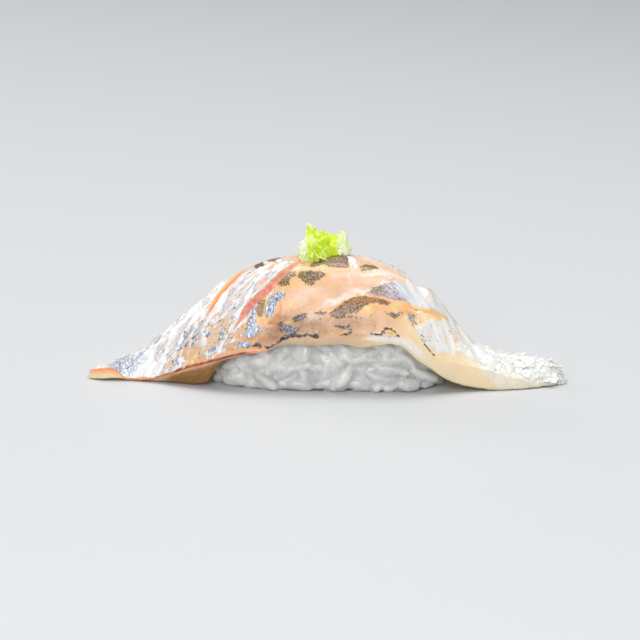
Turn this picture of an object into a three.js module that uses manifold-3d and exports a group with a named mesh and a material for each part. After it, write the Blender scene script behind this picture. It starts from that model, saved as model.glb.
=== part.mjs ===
// Mackerel nigiri: a scored slice of cured mackerel draped over a hand-pressed loaf of
// cooked rice, with a pinch of finely chopped green garnish on the crown.
// Millimetres, +Z up, +X along the slice; the side seen first faces -Y.
import * as THREE from "three";
import { mergeVertices } from "three/addons/utils/BufferGeometryUtils.js";
import Module from "manifold-3d";

const wasm = await Module();
wasm.setup();
const { Manifold, Mesh } = wasm;

// ---- Driving sizes -------------------------------------------------------------------

const SLICE_HALF_LENGTH = 45;
const SLICE_STATIONS = 70;
const SKIN_POINTS = 25;
const UNDER_POINTS = 13;
const GAP = 0.32; // clearance between neighbouring pieces
const SMOOTHING = 0.08; // slivers finer than this are melted away
const LOWEST_FLESH = 0.12; // height of the wings' contact line above the board

// Each profile runs along the slice: [position along X, size].
// Height and sideways place of the crown line.
const CROWN_HEIGHT = [
  [-45, 1.6], [-42, 2.3], [-38.5, 3.3], [-35, 4.85], [-31.5, 7.75], [-28, 11], [-24, 14.6],
  [-19, 19.1], [-14, 21.95], [-9, 23.5], [-4, 24.4], [1, 24.5], [6, 23.85], [10, 22.9],
  [14, 20.9], [17, 18.45], [18.8, 17.9], [21, 15.6], [24, 11.5], [27, 7.95], [31, 5.9],
  [36, 4.6], [40.5, 4.4], [43.5, 3.2], [45, 0.7],
];
const CROWN_SIDE = [
  [-45, -1.4], [-42, 0.4], [-38, 1.8], [-34, 2.4], [-29, 2], [-22, 0.8], [-15, 0], [16, 0],
  [20, 0.5], [26, 1.2], [36, 1.2], [45, 0.9],
];
// Edge of the skin along the front, and how far the cut flesh shows below it.
const FRONT_SIDE = [
  [-45, -3], [-42, -4.1], [-37, -4.2], [-33, -4.9], [-28, -6.9], [-22, -9.2], [-15, -11.2],
  [-6, -11.8], [10, -11.8], [15, -11.2], [20, -9.4], [25, -7.2], [30, -6], [36, -4.6],
  [41, -2.6], [45, 0.6],
];
const FRONT_HEIGHT = [
  [-45, 1.75], [-41, 2.2], [-37.5, 0.5], [-34, 0.6], [-30, 2.05], [-26.5, 3.75], [-21, 5.85],
  [-16, 7.55], [-11.5, 8.5], [-9.2, 10], [-7, 11.1], [-2, 11.4], [8, 12.2], [13, 11.7],
  [17, 9.3], [20, 7.1], [25, 5.45], [30, 4.2], [36, 2.2], [40.5, 1], [45, 0.3],
];
const FRONT_FLESH = [
  [-45, 1.75], [-41, 1.75], [-38, 0.45], [-34, 0.5], [-31, 1.35], [-28, 2.7], [-25, 4],
  [-22.6, 4.2], [-21, 2.2], [-19.6, 0.9], [-15, 0.55], [-11, 0.5], [-7.5, 1.5], [-4, 1.9],
  [3, 2.2], [6, 3.1], [9.5, 2.5], [12, 1.9], [14, 2.1], [17, 2.7], [19.4, 2.5],
  [21, 3], [23, 3.7], [26, 4], [30, 3.9], [36, 2.1], [40.5, 0.85], [45, 0.2],
];
// The same along the back.
const BACK_SIDE = [
  [-45, -0.2], [-42, 2.4], [-38, 5.8], [-34, 8.4], [-28, 10.2], [-22, 11.2], [-14, 11.8],
  [14, 11.6], [20, 10.6], [26, 9.4], [33, 7.4], [40, 4.8], [45, 1.2],
];
const BACK_HEIGHT = [
  [-45, 1.4], [-40, 1.9], [-35, 2.4], [-30, 2.8], [-25, 5.2], [-18, 9], [-8, 11.2],
  [8, 11.4], [14, 10.4], [19, 8.6], [25, 5.6], [31, 3.8], [38, 2.6], [43, 1.2], [45, 0.3],
];
const BACK_FLESH = [
  [-45, 1.2], [-40, 1.7], [-35, 2.2], [-30, 2.6], [-25, 3.2], [-18, 2.6], [0, 2.2],
  [14, 2.5], [20, 3.1], [26, 3.4], [31, 3], [38, 2.1], [43, 0.8], [45, 0.2],
];
// How far, in degrees, the skin turns from the crown to its front and back edges.
const FRONT_WRAP = [[-45, 20], [-40, 28], [-35, 42], [-29, 58], [-22, 68], [-14, 72], [10, 72],
  [16, 70], [22, 62], [28, 48], [36, 34], [45, 20]];
const BACK_WRAP = [[-45, 20], [-40, 28], [-35, 42], [-29, 60], [-22, 74], [-14, 82], [10, 84],
  [16, 78], [22, 66], [28, 50], [36, 34], [45, 20]];
// Flesh under the crown, measured straight down, and how far the cut faces lean in.
const CROWN_FLESH = [[-45, 1.4], [-42, 2.1], [-38.5, 2.4], [-35, 3], [-31.5, 4], [-28, 4.7],
  [-19, 4.8], [-9, 4.1], [6, 4.1], [14, 4.8], [22, 5.2], [27, 4.2], [31, 3.7], [36, 3.2],
  [40.5, 3.4], [43.5, 2.1], [45, 0.3]];
const FRONT_LEAN = [[-45, 0.1], [-40, 0.3], [-36, 0.9], [-30, 1.3], [-25, 1.9], [-20, 1.6],
  [-9, 1.2], [8, 1], [18, 0.6], [24, 0.2], [34, 0.2], [45, 0.3]];
const BACK_LEAN = 1.1;

// Score cuts, drawn on the skin: [along X, distance from the crown line, opening].
// Distance is negative down the front. The flesh falls away across the opening
// and meets the skin again in a steep lip.
const SCORES = [
  { depth: 0.5, line: [[-12, 3.2, 0.3], [-16.9, -1.4, 0.8], [-19, -4.2, 0.9], [-23.1, -6.5, 0.6],
    [-24.1, -9.2, 0.3]] },
  { depth: 0.9, line: [[-4.5, -1.1, 0.3], [-8.4, -4.4, 1], [-11.2, -5.9, 1.5],
    [-13.4, -7.6, 2], [-16.4, -10.6, 1.8], [-18, -13.4, 0.4]] },
  { depth: 1.2, line: [[-10.6, -16.8, 1.2], [-7.2, -15.3, 6], [-3, -14.3, 7.8],
    [2, -12.3, 6.4], [5, -10.4, 5], [10, -10, 4.6], [13, -9.6, 2], [17, -7.8, 0.7],
    [23, -4, 0.4]] },
];
const LIP = 0.35; // width of the steep side of a score

const TAIL_CRUST_START = 27; // the thin tail end is frayed and bumpy from here on
const TAIL_CRUST = 0.4;

const RICE_HALF_LENGTH = 21.1;
const RICE_HALF_WIDTH = 8.6;
const RICE_TUCK = 0.8; // the loaf narrows by this at the board
const RICE_SQUARENESS = 3.2;
const GRAIN_LENGTH = 5.6;
const GRAIN_WIDTH = 2.8;
const GRAIN_ROWS = 5;
const GRAIN_ROW = 2.7;
const GRAIN_PITCH = 4.9;
// Grains that stand out on the front: [along X, height, length, width, tilt, how far out].
const FRONT_GRAINS = [
  [-17.7, 1.8, 4.4, 2.7, 20, -0.5], [-11.6, 1.9, 5.4, 2.8, -32, -0.1],
  [-5.2, 1.2, 5.4, 2.8, -6, -0.3], [3.4, 3.3, 6, 2.9, 60, 0.1], [9, 3.3, 4, 2.3, -20, -0.1],
  [12.2, 4.4, 7.2, 2.3, -7, -0.1], [9.8, 1, 2.7, 2.1, 40, -0.1],
  [15.2, 1.4, 5.4, 2.9, -8, 0.15], [18.7, 3.3, 7.4, 2.3, -22, -0.05],
];

// Top of the garnish along X, its half depth, and how far back its middle lies.
const GARNISH_TOP = [[-5.6, 26.4], [-5, 27.3], [-4.5, 29.2], [-4, 30], [-3.2, 30],
  [-2.5, 29.2], [-1.4, 28.8], [0.2, 28.3], [1.5, 28.1], [3, 28.1], [3.4, 27.6], [3.7, 26.4]];
const GARNISH_DEPTH = [[-5.6, 1.2], [-4.6, 2.1], [-2, 2.6], [1.5, 2.1], [3.1, 1.8], [3.7, 0.9]];
const GARNISH_SIDE = [[-5.6, -1.8], [-4, -1.4], [-2, -0.6], [0.5, 0.5], [2, 1], [3.7, 1.2]];
const GARNISH_STATIONS = 16;
const GARNISH_ROUND = 9; // points over the top of each cross-section
const GARNISH_SHREDS = 16;

// ---- Helpers -------------------------------------------------------------------------

// Smooth curve through a profile's sizes that never overshoots them.
function profile(pairs) {
  const x = pairs.map((p) => p[0]);
  const y = pairs.map((p) => p[1]);
  const last = x.length - 1;
  const slope = (i) => (y[i + 1] - y[i]) / (x[i + 1] - x[i]);
  const tangent = x.map((_, i) => {
    if (i === 0) return slope(0);
    if (i === last) return slope(last - 1);
    const a = slope(i - 1);
    const b = slope(i);
    if (a * b <= 0) return 0;
    const before = x[i] - x[i - 1];
    const after = x[i + 1] - x[i];
    const wa = 2 * after + before;
    const wb = after + 2 * before;
    return (wa + wb) / (wa / a + wb / b);
  });
  return (at) => {
    const u = Math.min(Math.max(at, x[0]), x[last]);
    let i = 0;
    while (i < last - 1 && u > x[i + 1]) i += 1;
    const h = x[i + 1] - x[i];
    const t = (u - x[i]) / h;
    const rise = t * t * (3 - 2 * t);
    return (
      (1 - rise) * y[i] + rise * y[i + 1] +
      t * (1 - t) * (1 - t) * h * tangent[i] - t * t * (1 - t) * h * tangent[i + 1]
    );
  };
}

// Repeatable random numbers from 0 to 1.
function seeded(seed) {
  let state = seed >>> 0;
  return () => {
    state = (state + 0x6d2b79f5) >>> 0;
    let t = Math.imul(state ^ (state >>> 15), 1 | state);
    t = (t + Math.imul(t ^ (t >>> 7), 61 | t)) ^ t;
    return ((t ^ (t >>> 14)) >>> 0) / 4294967296;
  };
}

// Closed body from rings of equal length, each end filled from its middle.
function bodyFromRings(rings) {
  const count = rings[0].length;
  const points = rings.flat();
  const faces = [];
  for (let r = 0; r < rings.length - 1; r += 1) {
    for (let k = 0; k < count; k += 1) {
      const next = (k + 1) % count;
      const a = r * count + k;
      const b = r * count + next;
      const c = a + count;
      const d = b + count;
      faces.push([a, b, d], [a, d, c]);
    }
  }
  const middle = (ring) => ring
    .reduce((sum, p) => sum.map((v, i) => v + p[i] / count), [0, 0, 0]);
  const first = points.push(middle(rings[0])) - 1;
  const end = points.push(middle(rings[rings.length - 1])) - 1;
  const offset = (rings.length - 1) * count;
  for (let k = 0; k < count; k += 1) {
    const next = (k + 1) % count;
    faces.push([first, next, k], [end, offset + k, offset + next]);
  }
  const body = new Manifold(new Mesh({
    numProp: 3,
    vertProperties: new Float32Array(points.flat()),
    triVerts: new Uint32Array(faces.flat()),
  }));
  if (body.volume() > 0) return body;
  return new Manifold(new Mesh({
    numProp: 3,
    vertProperties: new Float32Array(points.flat()),
    triVerts: new Uint32Array(faces.map(([a, b, c]) => [a, c, b]).flat()),
  }));
}

function fromThree(geometry) {
  const bare = geometry.clone();
  bare.deleteAttribute("normal");
  bare.deleteAttribute("uv");
  const merged = mergeVertices(bare, 1e-4);
  return new Manifold(new Mesh({
    numProp: 3,
    vertProperties: new Float32Array(merged.attributes.position.array),
    triVerts: new Uint32Array(merged.index.array),
  }));
}

function toThree(body, name, material) {
  const mesh = body.getMesh();
  const stride = mesh.numProp;
  const position = new Float32Array(mesh.numVert * 3);
  for (let i = 0; i < mesh.numVert; i += 1) {
    position.set(mesh.vertProperties.subarray(i * stride, i * stride + 3), i * 3);
  }
  const geometry = new THREE.BufferGeometry();
  geometry.setAttribute("position", new THREE.BufferAttribute(position, 3));
  geometry.setIndex(new THREE.BufferAttribute(mesh.triVerts, 1));
  geometry.computeVertexNormals();
  const node = new THREE.Mesh(geometry, material);
  node.name = name;
  return node;
}

function largestBody(body) {
  return body.decompose().reduce((a, b) => (a.volume() > b.volume() ? a : b));
}

// ---- The slice of mackerel -----------------------------------------------------------

const crownHeight = profile(CROWN_HEIGHT);
const crownSide = profile(CROWN_SIDE);
const crownFlesh = profile(CROWN_FLESH);
const front = {
  side: profile(FRONT_SIDE),
  height: profile(FRONT_HEIGHT),
  flesh: profile(FRONT_FLESH),
  wrap: profile(FRONT_WRAP),
  lean: profile(FRONT_LEAN),
};
const back = {
  side: profile(BACK_SIDE),
  height: profile(BACK_HEIGHT),
  flesh: profile(BACK_FLESH),
  wrap: profile(BACK_WRAP),
  lean: () => -BACK_LEAN,
};

// Point of a section that arcs from a top point to an edge; share runs from 0 to 1.
function arcPoint(x, topY, topZ, edgeY, edgeZ, wrapDegrees, share) {
  const wrap = THREE.MathUtils.degToRad(wrapDegrees);
  const turn = wrap * share;
  return [
    x,
    topY + ((edgeY - topY) * Math.sin(turn)) / Math.sin(wrap),
    topZ + ((edgeZ - topZ) * (1 - Math.cos(turn))) / (1 - Math.cos(wrap)),
  ];
}

// The skin side: across runs from -1 at the front edge over 0 at the crown to 1.
function skinPoint(x, across) {
  const half = across < 0 ? front : back;
  return arcPoint(
    x, crownSide(x), crownHeight(x), half.side(x), half.height(x), half.wrap(x),
    Math.abs(across),
  );
}

// The flesh side, against the rice; drop 1 is the true underside, 0.5 is mid-flesh.
function fleshPoint(x, across, drop = 1) {
  const half = across < 0 ? front : back;
  const point = arcPoint(
    x, crownSide(x), crownHeight(x) - crownFlesh(x) * drop,
    half.side(x) + half.lean(x) * drop, half.height(x) - half.flesh(x) * drop,
    half.wrap(x), Math.abs(across),
  );
  point[2] = Math.max(point[2], LOWEST_FLESH);
  return point;
}

function skinLength(x, side) {
  let length = 0;
  let previous = skinPoint(x, 0);
  for (let i = 1; i <= 12; i += 1) {
    const point = skinPoint(x, (side * i) / 12);
    length += Math.hypot(point[1] - previous[1], point[2] - previous[2]);
    previous = point;
  }
  return length;
}

// How deep the score cuts are at a place on the skin.
function scoreDepth(x, down) {
  let depth = 0;
  for (const score of SCORES) {
    let nearest = Infinity;
    let signed = 0;
    let opening = 0;
    let end = 0;
    for (let i = 0; i < score.line.length - 1; i += 1) {
      const [ax, av, aw] = score.line[i];
      const [bx, bv, bw] = score.line[i + 1];
      const dx = bx - ax;
      const dv = bv - av;
      const raw = ((x - ax) * dx + (down - av) * dv) / (dx * dx + dv * dv);
      const t = Math.min(Math.max(raw, 0), 1);
      const gap = Math.hypot(x - ax - t * dx, down - av - t * dv);
      if (gap < nearest) {
        nearest = gap;
        signed = (dx * (down - av) - dv * (x - ax)) * Math.sign(dx) > 0 ? gap : -gap;
        opening = aw + t * (bw - aw);
        end = Math.abs(raw - t) * Math.hypot(dx, dv);
      }
    }
    const fade = Math.max(0, 1 - end / 1.2);
    const share = signed >= 0 ? 1 - signed / opening : 1 + signed / LIP;
    const sunk = score.depth * Math.min(1, opening / 2);
    depth = Math.max(depth, sunk * Math.max(0, share) * fade);
  }
  return depth;
}

// Loops around the slice; grow pushes every face outwards.
function sliceRings(grow) {
  const bump = seeded(41);
  const loops = [];
  for (let s = 0; s <= SLICE_STATIONS; s += 1) {
    const x = SLICE_HALF_LENGTH * ((2 * s) / SLICE_STATIONS - 1);
    const frontLength = skinLength(x, -1);
    const backLength = skinLength(x, 1);
    const loop = [];
    for (let i = 0; i < SKIN_POINTS; i += 1) {
      const across = (2 * i) / (SKIN_POINTS - 1) - 1;
      const down = across * (across < 0 ? frontLength : backLength);
      const point = skinPoint(x, across);
      const inside = Math.sin((Math.PI * i) / (SKIN_POINTS - 1));
      const crust = x > TAIL_CRUST_START
        ? (bump() - 0.35) * TAIL_CRUST * Math.min(1, (x - TAIL_CRUST_START) / 4) * inside
        : 0;
      point.push(crust - scoreDepth(x, down));
      loop.push(point);
    }
    const facePoint = (across) => {
      const a = skinPoint(x, across);
      const b = fleshPoint(x, across);
      return [x, (a[1] + b[1]) / 2, (a[2] + b[2]) / 2, 0];
    };
    loop.push(facePoint(1));
    for (let i = 0; i < UNDER_POINTS; i += 1) {
      loop.push([...fleshPoint(x, 1 - (2 * i) / (UNDER_POINTS - 1)), 0]);
    }
    loop.push(facePoint(-1));
    loops.push(loop);
  }
  const count = loops[0].length;
  return loops.map((loop, s) => loop.map((point, k) => {
    const before = loops[Math.max(s - 1, 0)][k];
    const after = loops[Math.min(s + 1, loops.length - 1)][k];
    const left = loop[(k + count - 1) % count];
    const right = loop[(k + 1) % count];
    const normal = new THREE.Vector3(after[0] - before[0], after[1] - before[1], after[2] - before[2])
      .cross(new THREE.Vector3(right[0] - left[0], right[1] - left[1], right[2] - left[2]))
      .normalize();
    const push = point[3] + grow;
    const end = s === 0 ? -grow : s === loops.length - 1 ? grow : 0;
    return [
      point[0] + normal.x * push + end,
      point[1] + normal.y * push,
      Math.max(point[2] + normal.z * push, LOWEST_FLESH - grow),
    ];
  }));
}

const slice = bodyFromRings(sliceRings(0));
const sliceAndGap = bodyFromRings(sliceRings(GAP));

// ---- The loaf of rice ----------------------------------------------------------------

// Outline of the loaf at a height, seen from above; turn goes once round it.
function loafPoint(turn, height, spread) {
  const tuck = RICE_TUCK * Math.max(0, 1 - height / 2.5) ** 2;
  const round = (v) => Math.sign(v) * Math.abs(v) ** (2 / RICE_SQUARENESS);
  return [
    (RICE_HALF_LENGTH - tuck + spread) * round(Math.cos(turn)),
    (RICE_HALF_WIDTH - tuck + spread) * round(Math.sin(turn)),
    height,
  ];
}

function makeRice() {
  const random = seeded(7);
  const rings = [0, 0.8, 1.8, 3, 8, 24].map((height) => {
    const ring = [];
    for (let i = 0; i < 36; i += 1) ring.push(loafPoint((i / 36) * 2 * Math.PI, height, 0));
    return ring;
  });
  const underSlice = [];
  for (let s = 0; s <= 24; s += 1) {
    const x = -24 + 2 * s;
    const loop = [];
    for (let i = 0; i <= 12; i += 1) loop.push(fleshPoint(x, (2 * i) / 12 - 1, 0.5));
    loop.push([x, back.side(x), -1], [x, front.side(x), -1]);
    underSlice.push(loop);
  }
  let rice = bodyFromRings(rings).intersect(bodyFromRings(underSlice));

  // Corners of the outline in steps of equal length, so that grains can be spread evenly.
  const outline = [];
  let length = 0;
  for (let i = 0; i <= 720; i += 1) {
    const [x, y] = loafPoint((i / 720) * 2 * Math.PI, 10, 0);
    if (i > 0) length += Math.hypot(x - outline[i - 1].x, y - outline[i - 1].y);
    outline.push({ x, y, length, turn: (i / 720) * 2 * Math.PI });
  }
  const grainShape = new THREE.SphereGeometry(1, 6, 4);
  const grains = [];
  const placeGrain = (turn, height, long, wide, tilt, stand) => {
    const [x, y] = loafPoint(turn, height, stand);
    const roof = fleshPoint(x, THREE.MathUtils.clamp(y / 11, -1, 1))[2];
    if (height > roof - 0.3) return;
    const grain = grainShape.clone();
    grain.scale(wide / 2, long / 2, wide / 2);
    grain.rotateX(THREE.MathUtils.degToRad(tilt));
    grain.rotateZ(Math.atan2(y / RICE_HALF_WIDTH ** 2, x / RICE_HALF_LENGTH ** 2));
    grain.translate(x, y, height);
    grains.push(fromThree(grain));
  };
  for (const [x, ...rest] of FRONT_GRAINS) {
    const { turn } = outline.find((p) => p.turn > Math.PI && p.x >= x);
    placeGrain(turn, ...rest);
  }
  const places = Math.round(length / GRAIN_PITCH);
  for (let row = 0; row < GRAIN_ROWS; row += 1) {
    for (let i = 0; i < places; i += 1) {
      const shift = [random() - 0.5, random() - 0.5, random() - 0.5, random() - 0.5];
      const size = 0.95 + 0.2 * random();
      const step = ((i + 0.5 * (row % 2) + 0.4 * shift[0]) / places) * length;
      const { turn } = outline.find((p) => p.length >= Math.min(step, length));
      placeGrain(turn, 1.2 + row * GRAIN_ROW + 0.7 * shift[1], size * GRAIN_LENGTH,
        size * GRAIN_WIDTH, 110 * shift[3], 0.6 * shift[2] - 0.6);
    }
  }
  rice = Manifold.union([rice, ...grains]);
  rice = rice.trimByPlane([0, 0, 1], 0);
  return largestBody(rice.subtract(sliceAndGap).simplify(SMOOTHING));
}

const rice = makeRice();

// ---- The green garnish ---------------------------------------------------------------

function makeGarnish() {
  const random = seeded(19);
  const top = profile(GARNISH_TOP);
  const depth = profile(GARNISH_DEPTH);
  const middle = profile(GARNISH_SIDE);
  const first = GARNISH_TOP[0][0];
  const span = GARNISH_TOP[GARNISH_TOP.length - 1][0] - first;
  const rings = [];
  for (let s = 0; s <= GARNISH_STATIONS; s += 1) {
    const x = first + (span * s) / GARNISH_STATIONS;
    const foot = crownHeight(x) - 1.5;
    const ring = [];
    for (let i = 0; i < GARNISH_ROUND; i += 1) {
      const turn = (Math.PI * i) / (GARNISH_ROUND - 1);
      const rise = Math.sin(turn) ** 0.8;
      const reach = depth(x) * Math.cos(turn) + 0.3 * (random() - 0.5);
      ring.push([x, middle(x) + reach, foot + (top(x) - foot) * rise + 0.35 * (random() - 0.5)]);
    }
    rings.push(ring);
  }
  const pieces = [bodyFromRings(rings)];
  for (let i = 0; i < GARNISH_SHREDS; i += 1) {
    const x = first + 1 + ((span - 2) * (i + random())) / GARNISH_SHREDS;
    const side = 2 * random() - 1;
    const shred = new THREE.BoxGeometry(1.6 + random(), 0.7 + 0.5 * random(), 0.6);
    shred.rotateX(1.6 * (random() - 0.5));
    shred.rotateY(1.6 * (random() - 0.5));
    shred.rotateZ(Math.PI * random());
    shred.translate(x, middle(x) + 0.75 * side * depth(x), top(x) - 0.5 - 1.6 * side * side);
    pieces.push(fromThree(shred));
  }
  return largestBody(Manifold.union(pieces).subtract(sliceAndGap).simplify(SMOOTHING));
}

const garnish = makeGarnish();

// ---- Nodes ---------------------------------------------------------------------------

const nigiri = new THREE.Group();
nigiri.add(
  toThree(rice, "rice_bed", new THREE.MeshStandardMaterial({
    color: new THREE.Color().setRGB(0.78, 0.78, 0.76, THREE.SRGBColorSpace),
    roughness: 0.4,
    metalness: 0,
  })),
  toThree(slice, "fish_slice", new THREE.MeshStandardMaterial({
    color: new THREE.Color().setRGB(0.95, 0.77, 0.64, THREE.SRGBColorSpace),
    roughness: 0.3,
    metalness: 0,
  })),
  toThree(garnish, "garnish", new THREE.MeshStandardMaterial({
    color: new THREE.Color().setRGB(0.76, 0.9, 0.25, THREE.SRGBColorSpace),
    roughness: 0.45,
    metalness: 0,
  })),
);

export default nigiri;
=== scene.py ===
# Mackerel nigiri: a scored slice of cured mackerel, silver skin up, draped over a hand-pressed
# loaf of cooked rice, with a pinch of chopped greens on the crown. Sizes in millimetres.
import math
from functools import partialmethod

import bpy
import numpy as np
from mathutils import Matrix, Vector


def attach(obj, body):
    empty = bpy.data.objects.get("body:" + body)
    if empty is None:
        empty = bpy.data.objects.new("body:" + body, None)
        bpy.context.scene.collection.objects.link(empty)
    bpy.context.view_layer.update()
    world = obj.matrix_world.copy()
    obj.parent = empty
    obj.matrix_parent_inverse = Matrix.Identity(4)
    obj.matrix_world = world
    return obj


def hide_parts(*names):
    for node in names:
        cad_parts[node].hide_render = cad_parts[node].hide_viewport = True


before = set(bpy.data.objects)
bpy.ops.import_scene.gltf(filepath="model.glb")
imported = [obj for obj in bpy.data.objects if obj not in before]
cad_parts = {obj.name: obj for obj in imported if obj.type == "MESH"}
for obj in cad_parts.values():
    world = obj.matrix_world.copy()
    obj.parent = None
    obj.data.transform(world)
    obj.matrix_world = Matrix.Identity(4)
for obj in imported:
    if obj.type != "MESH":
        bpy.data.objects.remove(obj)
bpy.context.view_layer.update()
MM = 0.001

# ---- The slice of mackerel ------------------------------------------------------------
# Half a cured fillet, sliced on the slant and laid skin up over the rice. Both ends hang
# down to the board; the middle is held by the rice. Firm pale flesh under a thin skin.

# Shape profiles: (place along the slice, size). The crown is its top line. At each edge, SIDE
# and HEIGHT place the edge of the skin, FLESH is how high the cut face below it is, WRAP how
# far the skin bends on its way there, in degrees, and LEAN how far the face runs to the back.
CROWN_HEIGHT = [(-45, 1.6), (-42, 2.3), (-38.5, 3.3), (-35, 4.85), (-31.5, 7.75), (-28, 11),
                (-24, 14.6), (-19, 19.1), (-14, 21.95), (-9, 23.5), (-4, 24.4), (1, 24.5),
                (6, 23.85), (10, 22.9), (14, 20.9), (17, 18.45), (18.8, 17.9), (21, 15.6),
                (24, 11.5), (27, 7.95), (31, 5.9), (36, 4.6), (40.5, 4.4), (43.5, 3.2), (45, 0.7)]
CROWN_SIDE = [(-45, -1.4), (-42, 0.4), (-38, 1.8), (-34, 2.4), (-29, 2), (-22, 0.8), (-15, 0),
              (16, 0), (20, 0.5), (26, 1.2), (36, 1.2), (45, 0.9)]
FRONT_SIDE = [(-45, -3), (-42, -4.1), (-37, -4.2), (-33, -4.9), (-28, -6.9), (-22, -9.2),
              (-15, -11.2), (-6, -11.8), (10, -11.8), (15, -11.2), (20, -9.4), (25, -7.2),
              (30, -6), (36, -4.6), (41, -2.6), (45, 0.6)]
FRONT_HEIGHT = [(-45, 1.75), (-41, 2.2), (-37.5, 0.5), (-34, 0.6), (-30, 2.05), (-26.5, 3.75),
                (-21, 5.85), (-16, 7.55), (-11.5, 8.5), (-9.2, 10), (-7, 11.1), (-2, 11.4),
                (8, 12.2), (13, 11.7), (17, 9.3), (20, 7.1), (25, 5.45), (30, 4.2), (36, 2.2),
                (40.5, 1), (45, 0.3)]
FRONT_FLESH = [(-45, 1.75), (-41, 1.75), (-38, 0.45), (-34, 0.5), (-31, 1.35), (-28, 2.7),
               (-25, 4), (-22.6, 4.2), (-21, 2.2), (-19.6, 0.9), (-15, 0.55), (-11, 0.5),
               (-7.5, 1.5), (-4, 1.9), (3, 2.2), (6, 3.1), (9.5, 2.5), (12, 1.9), (14, 2.1),
               (17, 2.7), (19.4, 2.5), (21, 3), (23, 3.7), (26, 4), (30, 3.9), (36, 2.1),
               (40.5, 0.85), (45, 0.2)]
FRONT_WRAP = [(-45, 20), (-40, 28), (-35, 42), (-29, 58), (-22, 68), (-14, 72), (10, 72),
              (16, 70), (22, 62), (28, 48), (36, 34), (45, 20)]
FRONT_LEAN = [(-45, 0.1), (-40, 0.3), (-36, 0.9), (-30, 1.3), (-25, 1.9), (-20, 1.6), (-9, 1.2),
              (8, 1), (18, 0.6), (24, 0.2), (34, 0.2), (45, 0.3)]
BACK_SIDE = [(-45, -0.2), (-42, 2.4), (-38, 5.8), (-34, 8.4), (-28, 10.2), (-22, 11.2),
             (-14, 11.8), (14, 11.6), (20, 10.6), (26, 9.4), (33, 7.4), (40, 4.8), (45, 1.2)]
BACK_HEIGHT = [(-45, 1.4), (-40, 1.9), (-35, 2.4), (-30, 2.8), (-25, 5.2), (-18, 9), (-8, 11.2),
               (8, 11.4), (14, 10.4), (19, 8.6), (25, 5.6), (31, 3.8), (38, 2.6), (43, 1.2),
               (45, 0.3)]
BACK_FLESH = [(-45, 1.2), (-40, 1.7), (-35, 2.2), (-30, 2.6), (-25, 3.2), (-18, 2.6), (0, 2.2),
              (14, 2.5), (20, 3.1), (26, 3.4), (31, 3), (38, 2.1), (43, 0.8), (45, 0.2)]
BACK_WRAP = [(-45, 20), (-40, 28), (-35, 42), (-29, 60), (-22, 74), (-14, 82), (10, 84),
             (16, 78), (22, 66), (28, 50), (36, 34), (45, 20)]
BACK_LEAN = [(-45, -1.1), (45, -1.1)]
CROWN_FLESH = [(-45, 1.4), (-42, 2.1), (-38.5, 2.4), (-35, 3), (-31.5, 4), (-28, 4.7),
               (-19, 4.8), (-9, 4.1), (6, 4.1), (14, 4.8), (22, 5.2), (27, 4.2), (31, 3.7),
               (36, 3.2), (40.5, 3.4), (43.5, 2.1), (45, 0.3)]
LOWEST_FLESH = 0.12
HALF_LENGTH = 45
FACE_BULGE = 0.18

# Points of the mesh: along the slice, and round its section from the front edge.
STATIONS = 401
FRONT_SKIN = 92
BACK_SKIN = 60
BACK_FACE = 5
UNDER = 46
FRONT_FACE = 12


def curve_through(pairs):
    """Smooth curve through the sizes that never overshoots them."""
    x, y = np.array(pairs, float).T
    h = np.diff(x)
    slope = np.diff(y) / h
    tangent = np.zeros_like(y)
    tangent[0], tangent[-1] = slope[0], slope[-1]
    for i in range(1, len(x) - 1):
        before, after = slope[i - 1], slope[i]
        if before * after > 0:
            wa, wb = 2 * h[i] + h[i - 1], h[i] + 2 * h[i - 1]
            tangent[i] = (wa + wb) / (wa / before + wb / after)

    def at(place):
        u = np.clip(place, x[0], x[-1])
        i = np.clip(np.searchsorted(x, u, side="right") - 1, 0, len(x) - 2)
        t = (u - x[i]) / h[i]
        rise = t * t * (3 - 2 * t)
        return ((1 - rise) * y[i] + rise * y[i + 1] + t * (1 - t) ** 2 * h[i] * tangent[i]
                - t * t * (1 - t) * h[i] * tangent[i + 1])

    return at


crown_height, crown_side = curve_through(CROWN_HEIGHT), curve_through(CROWN_SIDE)
crown_flesh = curve_through(CROWN_FLESH)
front = [curve_through(p) for p in (FRONT_SIDE, FRONT_HEIGHT, FRONT_FLESH, FRONT_WRAP, FRONT_LEAN)]
back = [curve_through(p) for p in (BACK_SIDE, BACK_HEIGHT, BACK_FLESH, BACK_WRAP, BACK_LEAN)]
front_side, back_side, front_flesh = front[0], back[0], front[2]


def section_point(along, across, drop=0.0):
    """Point of a cross-section: across runs from -1 at the front edge over the crown to 1,
    drop from 0 on the skin to 1 on the flesh side."""
    along, across = np.broadcast_arrays(np.asarray(along, float), np.asarray(across, float))
    side, height, flesh, wrap, lean = (
        np.where(across < 0, f(along), b(along)) for f, b in zip(front, back))
    wrap = np.radians(wrap)
    turn = wrap * np.abs(across)
    top_y, top_z = crown_side(along), crown_height(along) - crown_flesh(along) * drop
    edge_y, edge_z = side + lean * drop, height - flesh * drop
    y = top_y + (edge_y - top_y) * np.sin(turn) / np.sin(wrap)
    z = top_z + (edge_z - top_z) * (1 - np.cos(turn)) / (1 - np.cos(wrap))
    return np.stack([along, y, np.maximum(z, LOWEST_FLESH)], -1)


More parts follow.
